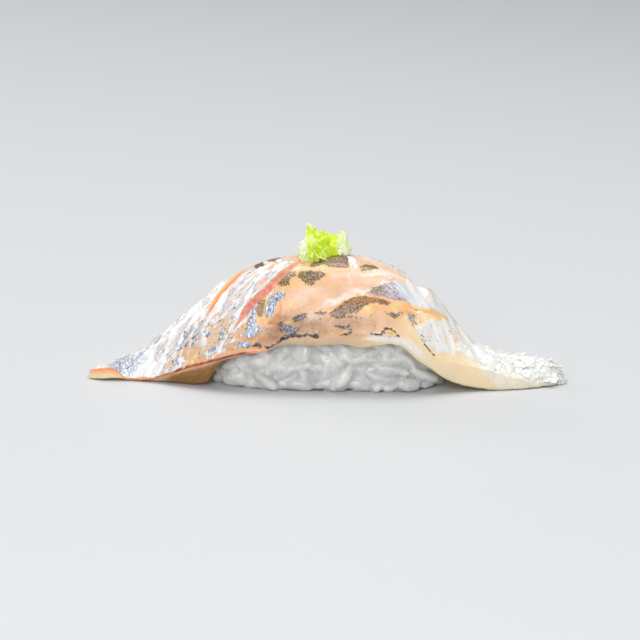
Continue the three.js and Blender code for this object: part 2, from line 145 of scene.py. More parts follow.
def lumpy(x, y, size, seed):
    """Smooth repeatable noise, about -1 to 1, with lumps of the given size."""
    table = np.random.RandomState(seed).uniform(-1, 1, (256, 256))
    px, py = x / size + 97.3, y / size + 61.7
    ix, iy = np.floor(px).astype(int), np.floor(py).astype(int)
    fx, fy = px - ix, py - iy
    fx, fy = fx * fx * (3 - 2 * fx), fy * fy * (3 - 2 * fy)
    corner = [table[(ix + i) % 256, (iy + j) % 256] for i in (0, 1) for j in (0, 1)]
    low = corner[0] * (1 - fy) + corner[1] * fy
    high = corner[2] * (1 - fy) + corner[3] * fy
    return low * (1 - fx) + high * fx


def ease(value, low, high):
    """Soft step from 0 at low to 1 at high."""
    t = np.clip((value - low) / (high - low), 0, 1)
    return t * t * (3 - 2 * t)


# The ring of points round the slice, from the front edge over the crown and back beneath.
stations = np.linspace(-HALF_LENGTH, HALF_LENGTH, STATIONS)
over_front = np.linspace(-1, 0, FRONT_SKIN, endpoint=False)
over_back = np.linspace(0, 1, BACK_SKIN)
skin_count = FRONT_SKIN + BACK_SKIN
ring_across = np.concatenate([
    over_front, over_back, np.full(BACK_FACE, 1.0), np.linspace(1, -1, UNDER),
    np.full(FRONT_FACE, -1.0)])
ring_drop = np.concatenate([
    np.zeros(skin_count), np.linspace(0, 1, BACK_FACE + 2)[1:-1], np.ones(UNDER),
    np.linspace(1, 0, FRONT_FACE + 2)[1:-1]])
slice_points = section_point(stations[:, None], ring_across[None, :], ring_drop[None, :])
on_face = (ring_drop > 0) & (ring_drop < 1)
# Cut faces bulge a little between the skin and the flesh side.
bulge = np.where(on_face, np.sin(np.pi * ring_drop) * FACE_BULGE * np.sign(ring_across), 0)
slice_points[..., 1] += bulge[None, :] * np.minimum(1, front_flesh(stations))[:, None]

# Skin map: along the slice, and down from the crown line, both measured on the skin.
steps = np.linalg.norm(np.diff(slice_points[:, :, 1:], axis=1), axis=-1)
run = np.concatenate([np.zeros((STATIONS, 1)), np.cumsum(steps, axis=1)], axis=1)
down = run - run[:, FRONT_SKIN][:, None]
# The face below the front edge counts on downwards from it.
round_face = np.linalg.norm(np.roll(slice_points, -1, axis=1)[..., 1:] - slice_points[..., 1:],
                            axis=-1)
for k in range(len(ring_across) - 1, len(ring_across) - 1 - FRONT_FACE - UNDER // 2, -1):
    ahead = down[:, (k + 1) % len(ring_across)]
    down[:, k] = ahead - round_face[:, k]
along = np.broadcast_to(stations[:, None], down.shape)
skin_side = np.broadcast_to((ring_drop == 0)[None, :], down.shape)


def waver(size, seed):
    """Smooth noise laid over the skin map, about -1 to 1."""
    return lumpy(along, down, size, seed)


wave_u, ripple_u, wave_v, ripple_v = (
    waver(size, seed) for size, seed in ((0.7, 5), (0.3, 6), (0.7, 8), (0.3, 9)))


def inside(outline, wobble=0.22):
    """Signed distance, in mm and positive inside, to a patch drawn on the skin map."""
    u = along + wobble * wave_u + 0.1 * ripple_u
    v = down + wobble * wave_v + 0.1 * ripple_v
    best = np.full(u.shape, 1e9)
    turns = np.zeros(u.shape, bool)
    for (ax, ay), (bx, by) in zip(outline, outline[1:] + outline[:1]):
        ex, ey = bx - ax, by - ay
        t = np.clip(((u - ax) * ex + (v - ay) * ey) / (ex * ex + ey * ey + 1e-9), 0, 1)
        best = np.minimum(best, (u - ax - t * ex) ** 2 + (v - ay - t * ey) ** 2)
        crosses = (ay > v) != (by > v)
        turns ^= crosses & (u < (v - ay) * ex / (ey if ey else 1e-9) + ax)
    return np.where(turns, 1, -1) * np.sqrt(best)


line_u, line_v = along + 0.1 * waver(0.8, 15), down + 0.1 * waver(0.8, 18)


def beside(line):
    """Distance to a line drawn on the skin map, its side (1 above, -1 below), and the share
    of the way along it."""
    u, v = line_u, line_v
    best, sign, share = np.full(u.shape, 1e9), np.zeros(u.shape), np.zeros(u.shape)
    for i, ((ax, ay), (bx, by)) in enumerate(zip(line, line[1:])):
        ex, ey = bx - ax, by - ay
        t = np.clip(((u - ax) * ex + (v - ay) * ey) / (ex * ex + ey * ey), 0, 1)
        d = np.hypot(u - ax - t * ex, v - ay - t * ey)
        near = d < best
        best = np.where(near, d, best)
        sign = np.where(near, np.sign((ex * (v - ay) - ey * (u - ax)) * np.sign(ex)), sign)
        share = np.where(near, (i + t) / (len(line) - 1), share)
    return best, sign, share


def patches(outlines):
    """Signed distance to several patches at once."""
    return np.max([inside(outline) for outline in outlines], axis=0)


def torn_stroke(width, line, seed):
    """Signed distance, positive inside, to a thin torn stroke of changing width, with bits
    beside it."""
    draw = np.random.RandomState(seed)
    made = np.full(down.shape, -1.0)
    for (ax, ay), (bx, by) in zip(line, line[1:]):
        steps = max(2, int(math.hypot(bx - ax, by - ay) / 0.22))
        for t in np.linspace(0, 1, steps, endpoint=False):
            cu = ax + t * (bx - ax) + 0.1 * draw.normal()
            cv = ay + t * (by - ay) + 0.1 * draw.normal()
            radius = 0.72 * width * draw.uniform(0.3, 1.4)
            column = slice(*np.searchsorted(stations, [cu - 0.8, cu + 0.8]))
            reach = np.hypot((along[column] - cu) * draw.uniform(0.6, 1), down[column] - cv)
            made[column] = np.maximum(made[column], radius - reach)
            if draw.uniform() < 0.35:
                cu, cv = cu + 0.35 * draw.normal(), cv + 0.3 * draw.normal()
                reach = np.hypot(along[column] - cu, down[column] - cv)
                made[column] = np.maximum(made[column], 0.6 * radius - reach)
    return made


def torn_strokes(lines, seed):
    """Signed distance to several torn strokes at once."""
    return np.maximum.reduce([torn_stroke(width, line, seed + i)
                              for i, (width, line) in enumerate(lines)])


# Three slanting score cuts: the lip line, then how far the flesh opens above it.
CUT_LEFT = [(-12, 3.2), (-15, 0.8), (-17.8, -2.5), (-20.3, -4.2), (-22.4, -6.3), (-24.1, -9.2)]
CUT_MIDDLE = [(-4.6, -1.9), (-7.4, -5.1), (-9.6, -7.4), (-11.6, -9.1), (-13.9, -10.3),
              (-15.8, -12), (-17.8, -13.5)]
CUT_RIGHT = [(-11, -15), (-9.5, -15.6), (-6.9, -15.3), (-5, -14.3), (-2.9, -14), (0, -13.9),
             (2.2, -12.7), (3.8, -11.2), (5.2, -10.6), (7.2, -10), (10, -10.2), (12.2, -10.1),
             (14.2, -9.2), (17, -7.4), (19, -6.9), (21, -5.1), (22.6, -3.2)]
left_gap, left_side, left_share = beside(CUT_LEFT)
middle_gap, middle_side, middle_share = beside(CUT_MIDDLE)
right_gap, right_side, right_share = beside(CUT_RIGHT)
left_open = 1.65 * np.sin(np.pi * np.clip(left_share / 0.84, 0.05, 1)) ** 0.6 + 0.05
middle_open = (1.65 * np.sin(np.pi * np.clip(middle_share, 0.06, 0.99)) ** 0.7 + 0.05
               + 0.25 * waver(1.8, 21) * ease(middle_share, 0.05, 0.3))
right_open = np.interp(right_share, [0, 0.06, 0.2, 0.42, 0.62, 0.74, 0.82, 1],
                       [0.6, 3.5, 8.2, 8, 5.6, 4, 0.9, 0.4])
LIP_WIDTH = 0.3


def groove(gap, side, opening, depth):
    """Depth of a cut: deepest at its lip, with a wall that rises over its opening."""
    above = np.where(side >= 0, np.clip(1 - gap / opening, 0, 1) ** 0.85, 0)
    below = np.where(side < 0, np.clip(1 - gap / LIP_WIDTH, 0, 1), 0)
    return depth * np.minimum(1, opening / 1.2) * np.maximum(above, below)


score_depth = (groove(left_gap, left_side, left_open, depth=0.55)
               + groove(middle_gap, middle_side, middle_open, depth=0.85)
               + groove(right_gap, right_side, right_open, 0.95 - 0.5 * ease(along, 9, 15)))

# How far each place is from the front edge: above it on the skin, below it on the cut face.
edge_down = run[:, 0] - run[:, FRONT_SKIN]
from_edge = down - edge_down[:, None]
front_part = (ring_across < 0)[None, :]

DAB_RAGGED = 0.35
dab_u = along + DAB_RAGGED * waver(1.1, 41) + DAB_RAGGED * waver(0.5, 42)
dab_v = down + DAB_RAGGED * waver(1.1, 43) + DAB_RAGGED * waver(0.5, 44)


def dabs(*strokes):
    """Soft brush dabs, 0 to 1: (along, down, half length, half height, turn, strength)."""
    made = np.zeros(down.shape)
    for cu, cv, half_u, half_v, turn, strength in strokes:
        c, s = math.cos(math.radians(turn)), math.sin(math.radians(turn))
        p = ((dab_u - cu) * c + (dab_v - cv) * s) / half_u
        q = (-(dab_u - cu) * s + (dab_v - cv) * c) / half_v
        made = np.maximum(made, strength * np.exp(-1.1 * (p * p + q * q) ** 1.3))
    return made


def opened(gap, side, opening):
    """Signed distance, positive inside, to the flesh laid open above a cut's lip."""
    return np.where(side >= 0, opening - gap, -gap)


# Where silver skin still covers the flesh: all of it (1), torn (about a half), none (0).
in_left = opened(left_gap, left_side, left_open)
in_middle = opened(middle_gap, middle_side, middle_open)
STRIP = [(-17, -14.8), (-14, -14.2), (-12.4, -13.4), (-10.5, -14.6), (-9.5, -15), (-5, -14),
         (0, -13.6), (5, -10.4), (12, -9.8), (17, -8.2), (21.5, -4.4), (21, -6.5), (17, -9.6),
         (15.6, -11.2), (16.6, -13), (18, -14.6), (19, -16), (17, -24), (-12, -24), (-17, -18)]
BESIDE_SPEAR = [(-7.4, -8.6), (-10, -8.8), (-12.4, -10), (-14.6, -11.4), (-17, -13.6),
                (-17.6, -15), (-14, -18), (-9.6, -16), (-5, -14)]
PEACH_LOW = [(-27.5, -9.4), (-25.6, -9), (-24.7, -10.4), (-24.6, -12.4), (-22.6, -13.9),
             (-19.8, -15.6), (-17, -15.4), (-17, -24), (-30, -22), (-27.8, -13), (-27, -11.4)]
CUT_LIP = [(-11, -9.4), (-12.4, -10.4), (-14.4, -11.6), (-16.8, -13.4), (-16.4, -14),
           (-14.6, -13), (-13.2, -12), (-11.8, -11), (-10.8, -10)]
CROWN_CREAM = [(-13.6, 3.6), (-12, 0.8), (-9.6, -0.6), (-6, -3.6), (-3.4, -5), (3.4, -6),
               (6.4, -6.8), (8.6, -7), (10.6, -6), (12.6, -4.8), (14.4, -3.4), (14.8, -0.6),
               (9, 0.8), (4, 3), (0, 5), (-8, 6)]
BESIDE_CUT = [(-10.6, -9.4), (-9.4, -6.4), (-7, -4.4), (-4.4, -2.4), (-3.2, -4.8), (3.4, -5.6),
              (3.4, -7), (-6, -6.8), (-7.2, -9), (-8.6, -9.8)]
right_bare = np.interp(right_share, [0, 0.06, 0.2, 0.46, 0.56, 0.64, 0.72, 0.8, 1],
                       [0.6, 3.5, 8.2, 8, 5.4, 2.6, 1.2, 0.8, 0.4])
above_right = opened(right_gap, right_side, right_bare)
bared = np.maximum.reduce([in_left, in_middle, above_right, inside(STRIP), inside(CUT_LIP),
                           inside(BESIDE_SPEAR), inside(BESIDE_CUT),
                           inside(CROWN_CREAM, wobble=0.5)])
torn = dabs((-24.4, -6.4, 1.1, 4.5, 5, 0.5), (-34, 2.2, 6, 2.2, 25, 0.45),
            (-27.5, 1.6, 6, 1.8, 40, 0.5), (-34.2, -1.1, 1.6, 0.7, 40, 0.6),
            (-18.5, -8.4, 1.6, 1.6, 40, 0.45), (-8, 8, 30, 5, 0, 0.3),
            (30.5, -7.2, 6, 1.2, 10, 0.5), (19.6, -2.8, 1, 2.4, -30, 0.45),
            (-30.6, -8.8, 1.5, 1, 10, 0.5), (-36, -8.6, 3, 1.1, -10, 0.4),
            (-16, -3, 3, 0.8, 45, 0.5), (-39, 1, 3, 1, 20, 0.4),
            (-12.4, -6.2, 2.8, 0.9, 45, 0.62), (-10.6, -2.9, 2.6, 0.9, 42, 0.6),
            (-19, -6, 3.4, 1, 48, 0.52), (-11, -2.6, 3.6, 2.4, 40, 0.4), (-22, 1, 4, 2, 45, 0.3))
torn = np.maximum(torn, 0.66 * ease(inside(PEACH_LOW, wobble=0.6), -0.3, 0.3))
torn = np.maximum(torn, dabs((-21.4, -11.6, 3.2, 3, 25, 0.75), (-26.6, -10, 1.6, 2, 0, 0.6)))
skin = (1 - torn) * (1 - ease(bared, -0.12, 0.12))
# On the right wing the skin thins away softly above the cut edge, and in two bands.
wing = ease(along, 10, 16) * front_part
thinning = (ease(from_edge, 0.4, 3.2 - 0.06 * (along - 20)) + 0.3 * waver(1.0, 45)
            + 0.16 * waver(0.4, 48)
            - dabs((24.4, -5.8, 0.8, 2.6, 12, 0.7), (16.6, -10.4, 0.9, 3.4, -40, 0.9),
                   (20.5, -7.4, 3, 0.8, 42, 0.5), (26, -3, 0.5, 2.2, 20, 0.4)))
skin = np.where(front_part & (along > 15), skin * np.clip(thinning, 0, 1), skin)
skin = np.where(skin_side, skin, 0.0)
# Raised worm-like remains of skin over peach flesh and grey-blue scales.
mosaic = dabs((-21.4, -11, 3.6, 3.9, 25, 1), (-18.4, -14.4, 1.6, 1, 0, 0.8),
              (-26.2, -8.4, 1.4, 2.2, 10, 0.55), (-23.6, -14, 2, 0.6, -40, 0.5),
              (-29.4, -9.6, 1.6, 0.9, 20, 0.7), (-17, -12.4, 1, 1, 0, 0.6))
# The rim along the front edge of the left wing: bright fat at the tip, dark towards the rice.
rim_half = 0.34 + 0.14 * waver(1.7, 49)
rim = (ease(rim_half - np.abs(from_edge + 0.05 - 0.15 * waver(1.2, 47)), -0.15, 0.15)
       * ease(-along, 10, 14) * ease(along, -45.5, -44) * front_part)
maroon = rim * np.clip(ease(along, -35, -25) + 0.35 * waver(1.3, 51), 0, 1) * ease(
    -along, 13.5, 16)
skin = skin * (1 - rim)
tip_face = (1 - ease(along, -39, -35.5)) * np.where(skin_side, 0.0, 1.0) * front_part

# Dark back skin that the knife and the torch left in patches.
BROWN = [
    [(0.4, -14.2), (1.4, -13.2), (3, -11.8), (4.5, -10.9), (6.9, -10.5), (8.6, -10.4),
     (11.8, -10.4), (10.6, -11.4), (8.6, -11.6), (7.2, -12.2), (6.2, -13.2), (4.8, -14.1),
     (3.6, -14.4), (1.9, -15.4), (0.4, -15.2)],
    [(-4, -4.7), (-2.6, -3.4), (-1.3, -1.6), (-0.3, -0.2), (1, 1.7), (3.7, 2), (3.6, -3),
     (3.5, -4.7), (2.2, -4.8), (0, -4.7), (-1.2, -4.4), (-2.2, -4.8)],
    [(-6.1, -6.7), (-5.3, -6), (-4.1, -5.8), (-2.2, -5.9), (-0.5, -6.4), (-1.9, -7.8),
     (-3.7, -9.1), (-4.8, -8.1)],
    [(-9.7, -7.8), (-8.8, -6.4), (-7.6, -5.5), (-6.3, -5.7), (-6.1, -6.7), (-7.1, -7),
     (-7.4, -8.6), (-8.5, -8.5)],
    [(-13.7, -11.1), (-13.3, -10), (-11.9, -10.1), (-12, -11.8), (-12.5, -13.2), (-13.4, -12.4)],
    [(-12, 2.2), (-10.5, 2.6), (-9.4, 1.6), (-9.2, -1), (-10.5, -2), (-11.7, -1)],
    [(-6, 6.6), (-3, 7.8), (0, 7.6), (4, 9), (8, 9.4), (7, 10.2), (2, 10), (-2, 9), (-5, 7.8)],
    [(-19, 8), (-16, 9.6), (-12.4, 10.4), (-13.6, 9), (-16.4, 7.6)],
    [(11, 5.4), (13.6, 6.4), (17, 6.8), (15.4, 5.6), (12.6, 4.6)],
    [(5.6, -4), (6.8, -2.8), (8.3, -2.5), (9.3, -3.2), (7.2, -4.7), (5.9, -4.9)],
]
DUSKY = [
    [(-6.8, -15.3), (-6.4, -14.9), (-5.2, -14.5), (-4.2, -14.5), (-4.3, -15.1), (-5.2, -15.8),
     (-6.4, -15.8)],
    [(-2.8, -14.1), (-2, -14), (-0.6, -14.2), (0.1, -14.5), (-1.1, -14.7), (-2, -14.6)],
    [(10.6, -12.8), (11.9, -12.4), (13, -11.6), (14.3, -10.8), (13, -12.1), (12.4, -13.3),
     (11.6, -13)],
    [(2.2, -18.6), (2.5, -18.2), (3.7, -17.9), (4.5, -17.8), (4.1, -18.3), (2.9, -18.5)],
    [(-15.5, -17.6), (-14, -18.1), (-13.1, -17.8), (-12.3, -18.5), (-12.5, -18.9), (-14, -18.3)],
    [(14.8, -10.3), (15.8, -9.8), (16.3, -10.3), (15.7, -11), (15.4, -11.6), (14.8, -11.1)],
    [(-9.9, -15.1), (-8.8, -15.3), (-7.8, -16.2), (-6.4, -16.9), (-5.2, -17.2), (-5.8, -17.9),
     (-6.8, -18.3), (-7.4, -18.8), (-8.8, -18.7), (-8.8, -18.1), (-7.6, -17.7), (-8.9, -16.8)],
    [(-24, 5), (-21, 7), (-19, 6.4), (-21, 4.4)],
    [(-14.5, 1.4), (-13.4, 2.2), (-12.5, 0.8), (-12.4, -1.8), (-13.3, -2.6), (-14.2, -1.6)],
    [(18, 7), (21, 8.6), (22, 7.6), (20, 6)],
]
HAZE = [[(7.1, -9.4), (8.4, -7.9), (10.1, -6.7), (12.3, -5.4), (14.6, -5), (16, -6.4),
         (17, -8), (15.4, -8.7), (14.4, -8.7), (12.8, -9.3), (10.8, -9.4), (8.9, -9.6)]]
BLUE = [
    [(-8.2, -9.7), (-9.1, -9.5), (-10.9, -9.6), (-11.7, -10.9), (-11.9, -12.8), (-11.6, -13.7),
     (-10.5, -14.1), (-10, -12.3), (-8.9, -10.9)],
    [(-14, -10.6), (-13.2, -11.1), (-13.5, -13.1), (-14, -14.3), (-15.3, -13.9), (-14.9, -12.3)],
    [(-15.8, -14.5), (-14.7, -13.9), (-13.5, -14.2), (-12.2, -15.6), (-13, -16.3), (-14.6, -16.5),
     (-15.6, -15.7)],
    [(-17.8, -15.5), (-16.4, -16.2), (-15.2, -16.8), (-14.2, -17.6), (-14.3, -18), (-15.4, -17.9),
     (-16.8, -17)],
    [(-29.5, -9.1), (-28.5, -10.1), (-27.5, -12.2), (-28.7, -11.1), (-29.5, -9.8)],
]
# Thin dark torn lines: (half width, places).
HAIRLINES = [
    (0.26, [(-8.6, -18.7), (-9.5, -19.1), (-10.4, -19.4), (-10.9, -19.5), (-11.9, -18.9)]),
    (0.42, [(-2.2, -18.9), (-3.8, -18.6), (-5.3, -18.8), (-7, -18.4), (-8.5, -18.6)]),
    (0.15, [(-3.1, -17.3), (-2.8, -18.1), (-2.2, -18.9)]), (0.13, [(-3.9, -16), (-2.7, -16.3)]),
    (0.14, [(-1.7, -15.7), (-0.5, -15.6), (-0.5, -16.1)]),
    (0.26, [(1.4, -17), (2.2, -17.1), (2.9, -17.3), (3.9, -16.8), (4.2, -17.4)]),
    (0.22, [(2.2, -18.6), (3.3, -18.3), (4.4, -17.7)]),
    (0.24, [(8, -17.6), (9, -17.5), (10, -17.1), (10.6, -15.9), (11.9, -15.4), (12.6, -15.9),
            (13.3, -16.1)]),
    (0.12, [(10, -17.1), (11.2, -16.5), (12.2, -16.6), (12.8, -16)]),
    (0.14, [(15.3, -11.2), (16.2, -12.2), (17.2, -13), (18.2, -13.7)]),
    (0.1, [(16.2, -10.4), (17.2, -11.6), (17.9, -12.6), (18.2, -13.6)]),
    (0.22, [(18.2, -13.7), (18.7, -14.3), (19.5, -14.4), (20.3, -14.1)]),
    (0.14, [(-20, -14.7), (-18.9, -16), (-17.7, -17)]), (0.3, [(-13.5, -17.7), (-12.9, -18.4)]),
    (0.22, [(-13.9, -18), (-13.4, -18.3)]), (0.12, [(17.9, -12.6), (18.3, -13.4)]),
    (0.1, [(22.1, -6.5), (23.2, -5.9), (23.7, -6.3)]),
    (0.12, [(24.6, -3.1), (25.6, -4.5), (26.1, -6)]), (0.12, [(18.8, -0.5), (19.9, -3)]),
    (0.1, [(20, -3.3), (21.4, -3.3)]), (0.16, [(0.5, -15.3), (1.6, -15.6), (3.4, -14.9)]),
    (0.1, [(-12, 0.4), (-10.4, -1.6)]), (0.12, [(-16.6, -4.4), (-14.8, -2.2), (-12.8, -0.6)]),
]
# Raised white remains of skin right of the left score: (half width, places).
RIDGES = [
    (0.32, [(-22.8, -8.1), (-20.3, -9.2), (-19.2, -9.2), (-18.1, -8.4), (-17.2, -7.3)]),
    (0.42, [(-22.8, -8.1), (-23.6, -9.2), (-23.3, -11.3), (-23, -12.6)]),
    (0.2, [(-21.5, -9.3), (-21, -10.7)]), (0.2, [(-20.2, -13.6), (-21, -14.9)]),
    (0.3, [(-22.6, -14.4), (-21.4, -15.4), (-20.7, -15.5), (-20, -15.9), (-19.2, -16.3)]),
    (0.22, [(-19.3, -14.9), (-18.4, -14.7)]), (0.22, [(-25.6, -9), (-26.4, -11.4)]),
    (0.24, [(-27.6, -6.4), (-28.6, -8.6)]), (0.18, [(-18, -10.2), (-17, -12)]),
    (0.22, [(-13.6, -7.9), (-12.9, -7.2), (-12, -6.9)]), (0.16, [(-12.6, -8), (-11.9, -7.5)]),
    (0.18, [(-11.6, -6.5), (-10.6, -7)]), (0.14, [(-10.3, -5.2), (-9.5, -5.2)]),
    (0.14, [(-15, -9.6), (-14.2, -8.7)]), (0.18, [(-24.6, -12.2), (-25.6, -13.4)]),
    (0.2, [(-26.4, -12), (-27, -13)]), (0.7, [(4, -1.4), (4.3, -2.6), (4.5, -4)]),
    (0.4, [(4.6, -3), (5, -4.6)]),
]
brown, dusky, blue, haze = (patches(outlines) for outlines in (BROWN, DUSKY, BLUE, HAZE))
haze = haze - 0.9 * ease(along, 11, 16)
blue = np.maximum(blue, 1.3 * dabs(
    (-22.6, -10.2, 0.45, 1.3, 10, 1), (-19.9, -12.6, 0.55, 1.3, -30, 1),
    (-21.6, -14.2, 1.1, 0.5, -30, 1), (-18.6, -13.9, 0.6, 0.4, 0, 0.9),
    (-16.3, -15.2, 0.6, 0.4, 0, 1), (-25.2, -9.8, 0.5, 0.8, 0, 0.9),
    (-20.6, -9.6, 0.8, 0.4, 20, 0.9), (-26.8, -6.6, 0.7, 0.5, 40, 0.85)) - 0.65)
ridge, hairline = torn_strokes(RIDGES, 110), torn_strokes(HAIRLINES, 70)
# The opened cuts stay clear of scraps.
clear = np.maximum(in_left, np.where(middle_share < 0.66, -1.0, in_middle)) > -0.12
mosaic = np.where(clear, 0.0, mosaic)
ridge, blue = np.where(clear, -1.0, ridge), np.where(clear, -1.0, blue)

# Fine dark freckles, thickest on the strip and the left wing: (centre along and down, spread
# along and down, how many, size).
FRECKLES = [(1, -16.5, 9, 2.2, 50, 0.09), (-27, -7, 6, 5, 60, 0.09), (-20, -10.6, 4, 5, 50, 0.1),
            (9, -5, 5, 2.5, 20, 0.1), (17, -11, 3, 2.5, 26, 0.11), (-34, -3, 5, 4, 30, 0.08),
            (-26, -8, 1.8, 1.6, 20, 0.13), (4, -14.9, 4, 0.7, 24, 0.12),
            (22, -9, 3, 4, 20, 0.09), (0, 5, 30, 6, 90, 0.12)]
FRECKLE_SEED = 12
freckle = np.full(down.shape, -1.0)
scatter = np.random.RandomState(FRECKLE_SEED)
for centre_u, centre_v, spread_u, spread_v, count, size in FRECKLES:
    for _ in range(count):
        cu = centre_u + spread_u * scatter.normal() * 0.6
        cv = centre_v + spread_v * scatter.normal() * 0.6
        radius = size * scatter.uniform(0.4, 1.5)
        lean, tall = scatter.uniform(-1, 1), scatter.uniform(0.6, 1.3)
        column = slice(*np.searchsorted(stations, [cu - 1, cu + 1]))
        du, dv = along[column] - cu, down[column] - cv
        reach = np.hypot(du + lean * dv * 0.6, dv * tall)
        freckle[column] = np.maximum(freckle[column], radius - reach)
freckle = np.where(np.maximum(in_left, in_middle) > -0.3, -1.0, freckle)

# Fat lines and score walls that shine orange to salmon.
amber = 0.95 * ease(in_left, -0.2, 0.3) * (1 - ease(left_share, 0.74, 0.84))
amber = np.maximum(amber, ease(0.5 - right_gap, -0.15, 0.25) * ease(right_share, 0.58, 0.68)
                   * (1 - 0.6 * ease(right_share, 0.86, 0.98)))
amber = np.maximum(amber, ease(in_middle, -0.1, 0.3) * (1 - ease(down, -13.2, -11)) * 0.8)
LOW_ORANGE = [(-16.9, -15.3), (-14.9, -16.2), (-12.3, -16.4), (-12, -17.2), (-12.7, -17.7),
              (-14.9, -17.3), (-16.9, -15.8)]
amber = np.maximum(amber, 0.35 * ease(inside(LOW_ORANGE), -0.3, 0.3))
amber = np.maximum(amber, dabs(
    (-12, -14.4, 1.4, 0.8, -20, 0.4), (-25, -4.2, 0.5, 0.9, 10, 0.4),
    (23.8, -3.6, 0.45, 0.8, 20, 0.6), (-29.2, -8.8, 0.6, 0.5, 0, 0.6),
    (-30.3, -9, 0.6, 0.4, 20, 0.6), (-35.2, -8.6, 0.6, 0.5, 0, 0.7),
    (14, -9.6, 1.6, 0.4, 25, 0.9), (-20.4, -10, 0.5, 1.3, 10, 0.6),
    (-18.6, -11.6, 0.5, 1, 40, 0.7)))
salmon = (ease(in_middle, -0.15, 0.4) * ease(down, -12.9, -11)
          * (0.45 + 0.45 * ease(middle_share, 0.15, 0.5) + 0.2 * waver(0.9, 50)))
# Across each cut: 0 at its deep lip, 1 where the wall comes up. The material paints shade at the
# lip and a highlight up the wall with it.
wall = np.minimum(left_gap / left_open, middle_gap / middle_open)
# Tints of the flesh, laid on as soft dabs. The tan dabs also hold painted shade, and the pale dabs
# painted wet highlights.
rosy = dabs((-24, -8.2, 0.5, 1.8, 10, 0.6), (-12.4, -6.4, 2.6, 1, 45, 0.8),
            (-15.6, -15.7, 2.8, 0.6, -21, 0.7), (5, -7.6, 3.6, 1.9, 5, 0.8),
            (-1, -12.4, 1.8, 0.9, 25, 0.5), (-7.6, -11.6, 2.6, 2, 30, 0.55),
            (-9.8, -17, 1.4, 1.4, 0, 0.7), (-8.4, -14.4, 1.2, 0.9, 40, 0.5),
            (11.4, -5, 3, 0.8, 16, 0.7), (-9.6, 0.2, 1.6, 1.4, 40, 0.4))
deep = dabs((-9.4, -13.6, 0.7, 1.6, -25, 0.6), (3, -16, 5, 1.4, 5, 0.2),
            (-14.5, -16.4, 2.6, 0.8, 5, 0.3), (-23.2, -14.2, 1.6, 1, -40, 0.5),
            (8, -12.8, 3, 0.6, 15, 0.6), (-7.5, -8.9, 1, 0.4, 10, 0.6),
            (-22.8, -11.4, 1.2, 2, 0, 0.3), (14.4, -10, 2.2, 0.6, 26, 0.8),
            (10.4, -2.9, 4, 0.25, 17, 0.8), (4, -5.4, 4, 0.2, 6, 0.8), (7, -10, 4, 0.3, 8, 0.5))
deep = np.maximum(deep, 0.25 * (1 - ease(np.abs(from_edge - 0.6), 0.2, 1.1)) * ease(-along, 9, 14)
                  * ease(along, -34, -26) * front_part)
golden = dabs((-24.8, -12.4, 1.1, 1.4, -40, 0.8), (-11.4, -10.6, 0.6, 0.8, 0, 1),
              (-6.4, -8.6, 1.6, 0.5, 15, 0.6), (-20.6, -13, 0.6, 1.6, 0, 0.4),
              (7.2, -13, 1.8, 0.5, 10, 0.9), (-3, -14.8, 1.2, 0.4, 0, 0.7),
              (-7, -12.6, 0.8, 1.8, -30, 0.5), (-9.6, 2.4, 1.4, 0.5, 10, 0.5),
              (11.3, -16.2, 1, 0.4, 0, 1), (22.3, -2.6, 0.7, 2.2, -25, 0.8),
              (3.2, -18.1, 0.8, 0.3, 0, 0.7), (21, -5.6, 1.2, 0.5, 45, 0.9),
              (12, -11.6, 0.6, 0.5, 0, 0.5), (17, -12, 0.6, 2.6, -30, 0.2))
# Pale: whitish flesh, and in the thin dabs along the upper edge of the dark patch by the right
# cut, painted wet highlights.
pale = dabs((-15.6, -12.2, 0.45, 1.7, -50, 1), (-4.6, -10.4, 2.4, 1.4, 20, 0.3),
            (2, -11.5, 4.4, 0.6, 26, 0.85), (5.8, -9.4, 2.4, 0.6, 8, 0.9),
            (3.9, -7.4, 0.2, 1.8, 0, 0.4), (-3, -15.2, 1.4, 0.4, 0, 0.4),
            (-6, -5, 2, 0.3, 10, 0.5), (8.6, -5, 3.6, 0.4, 14, 0.8), (11, -3.4, 4, 0.9, 14, 0.8),
            (5, -13, 3, 0.35, 14, 0.4), (4.4, -2.6, 0.8, 2.8, 0, 0.5),
            (-8.6, -1.6, 2.4, 0.4, 45, 0.6), (-8, 0.6, 4, 0.4, 36, 0.5),
            (9, 0.6, 4.4, 2.2, -4, 0.75), (10, -4.4, 0.5, 0.4, 0, 0.7),
            (11, -4.4, 0.4, 0.4, 0, 0.7), (12.6, -4, 0.5, 0.4, 0, 0.6),
            (17, -11.9, 1.5, 0.5, -45, 1), (14.8, -11.6, 0.9, 0.25, 20, 0.8),
            (-17, -13.6, 0.8, 0.4, 0, 0.5), (-26.6, -13, 1.4, 0.3, -35, 0.8),
            (12, -9.2, 0.8, 0.3, 10, 0.8))
membrane = (ease(along, 5.8, 8.4) * (1 - ease(along, 16.5, 19.5))
            * ease(0.85 - np.abs(from_edge + 0.7 - 0.3 * waver(1.6, 46)), -0.3, 0.25))
pale = np.maximum(pale, membrane)
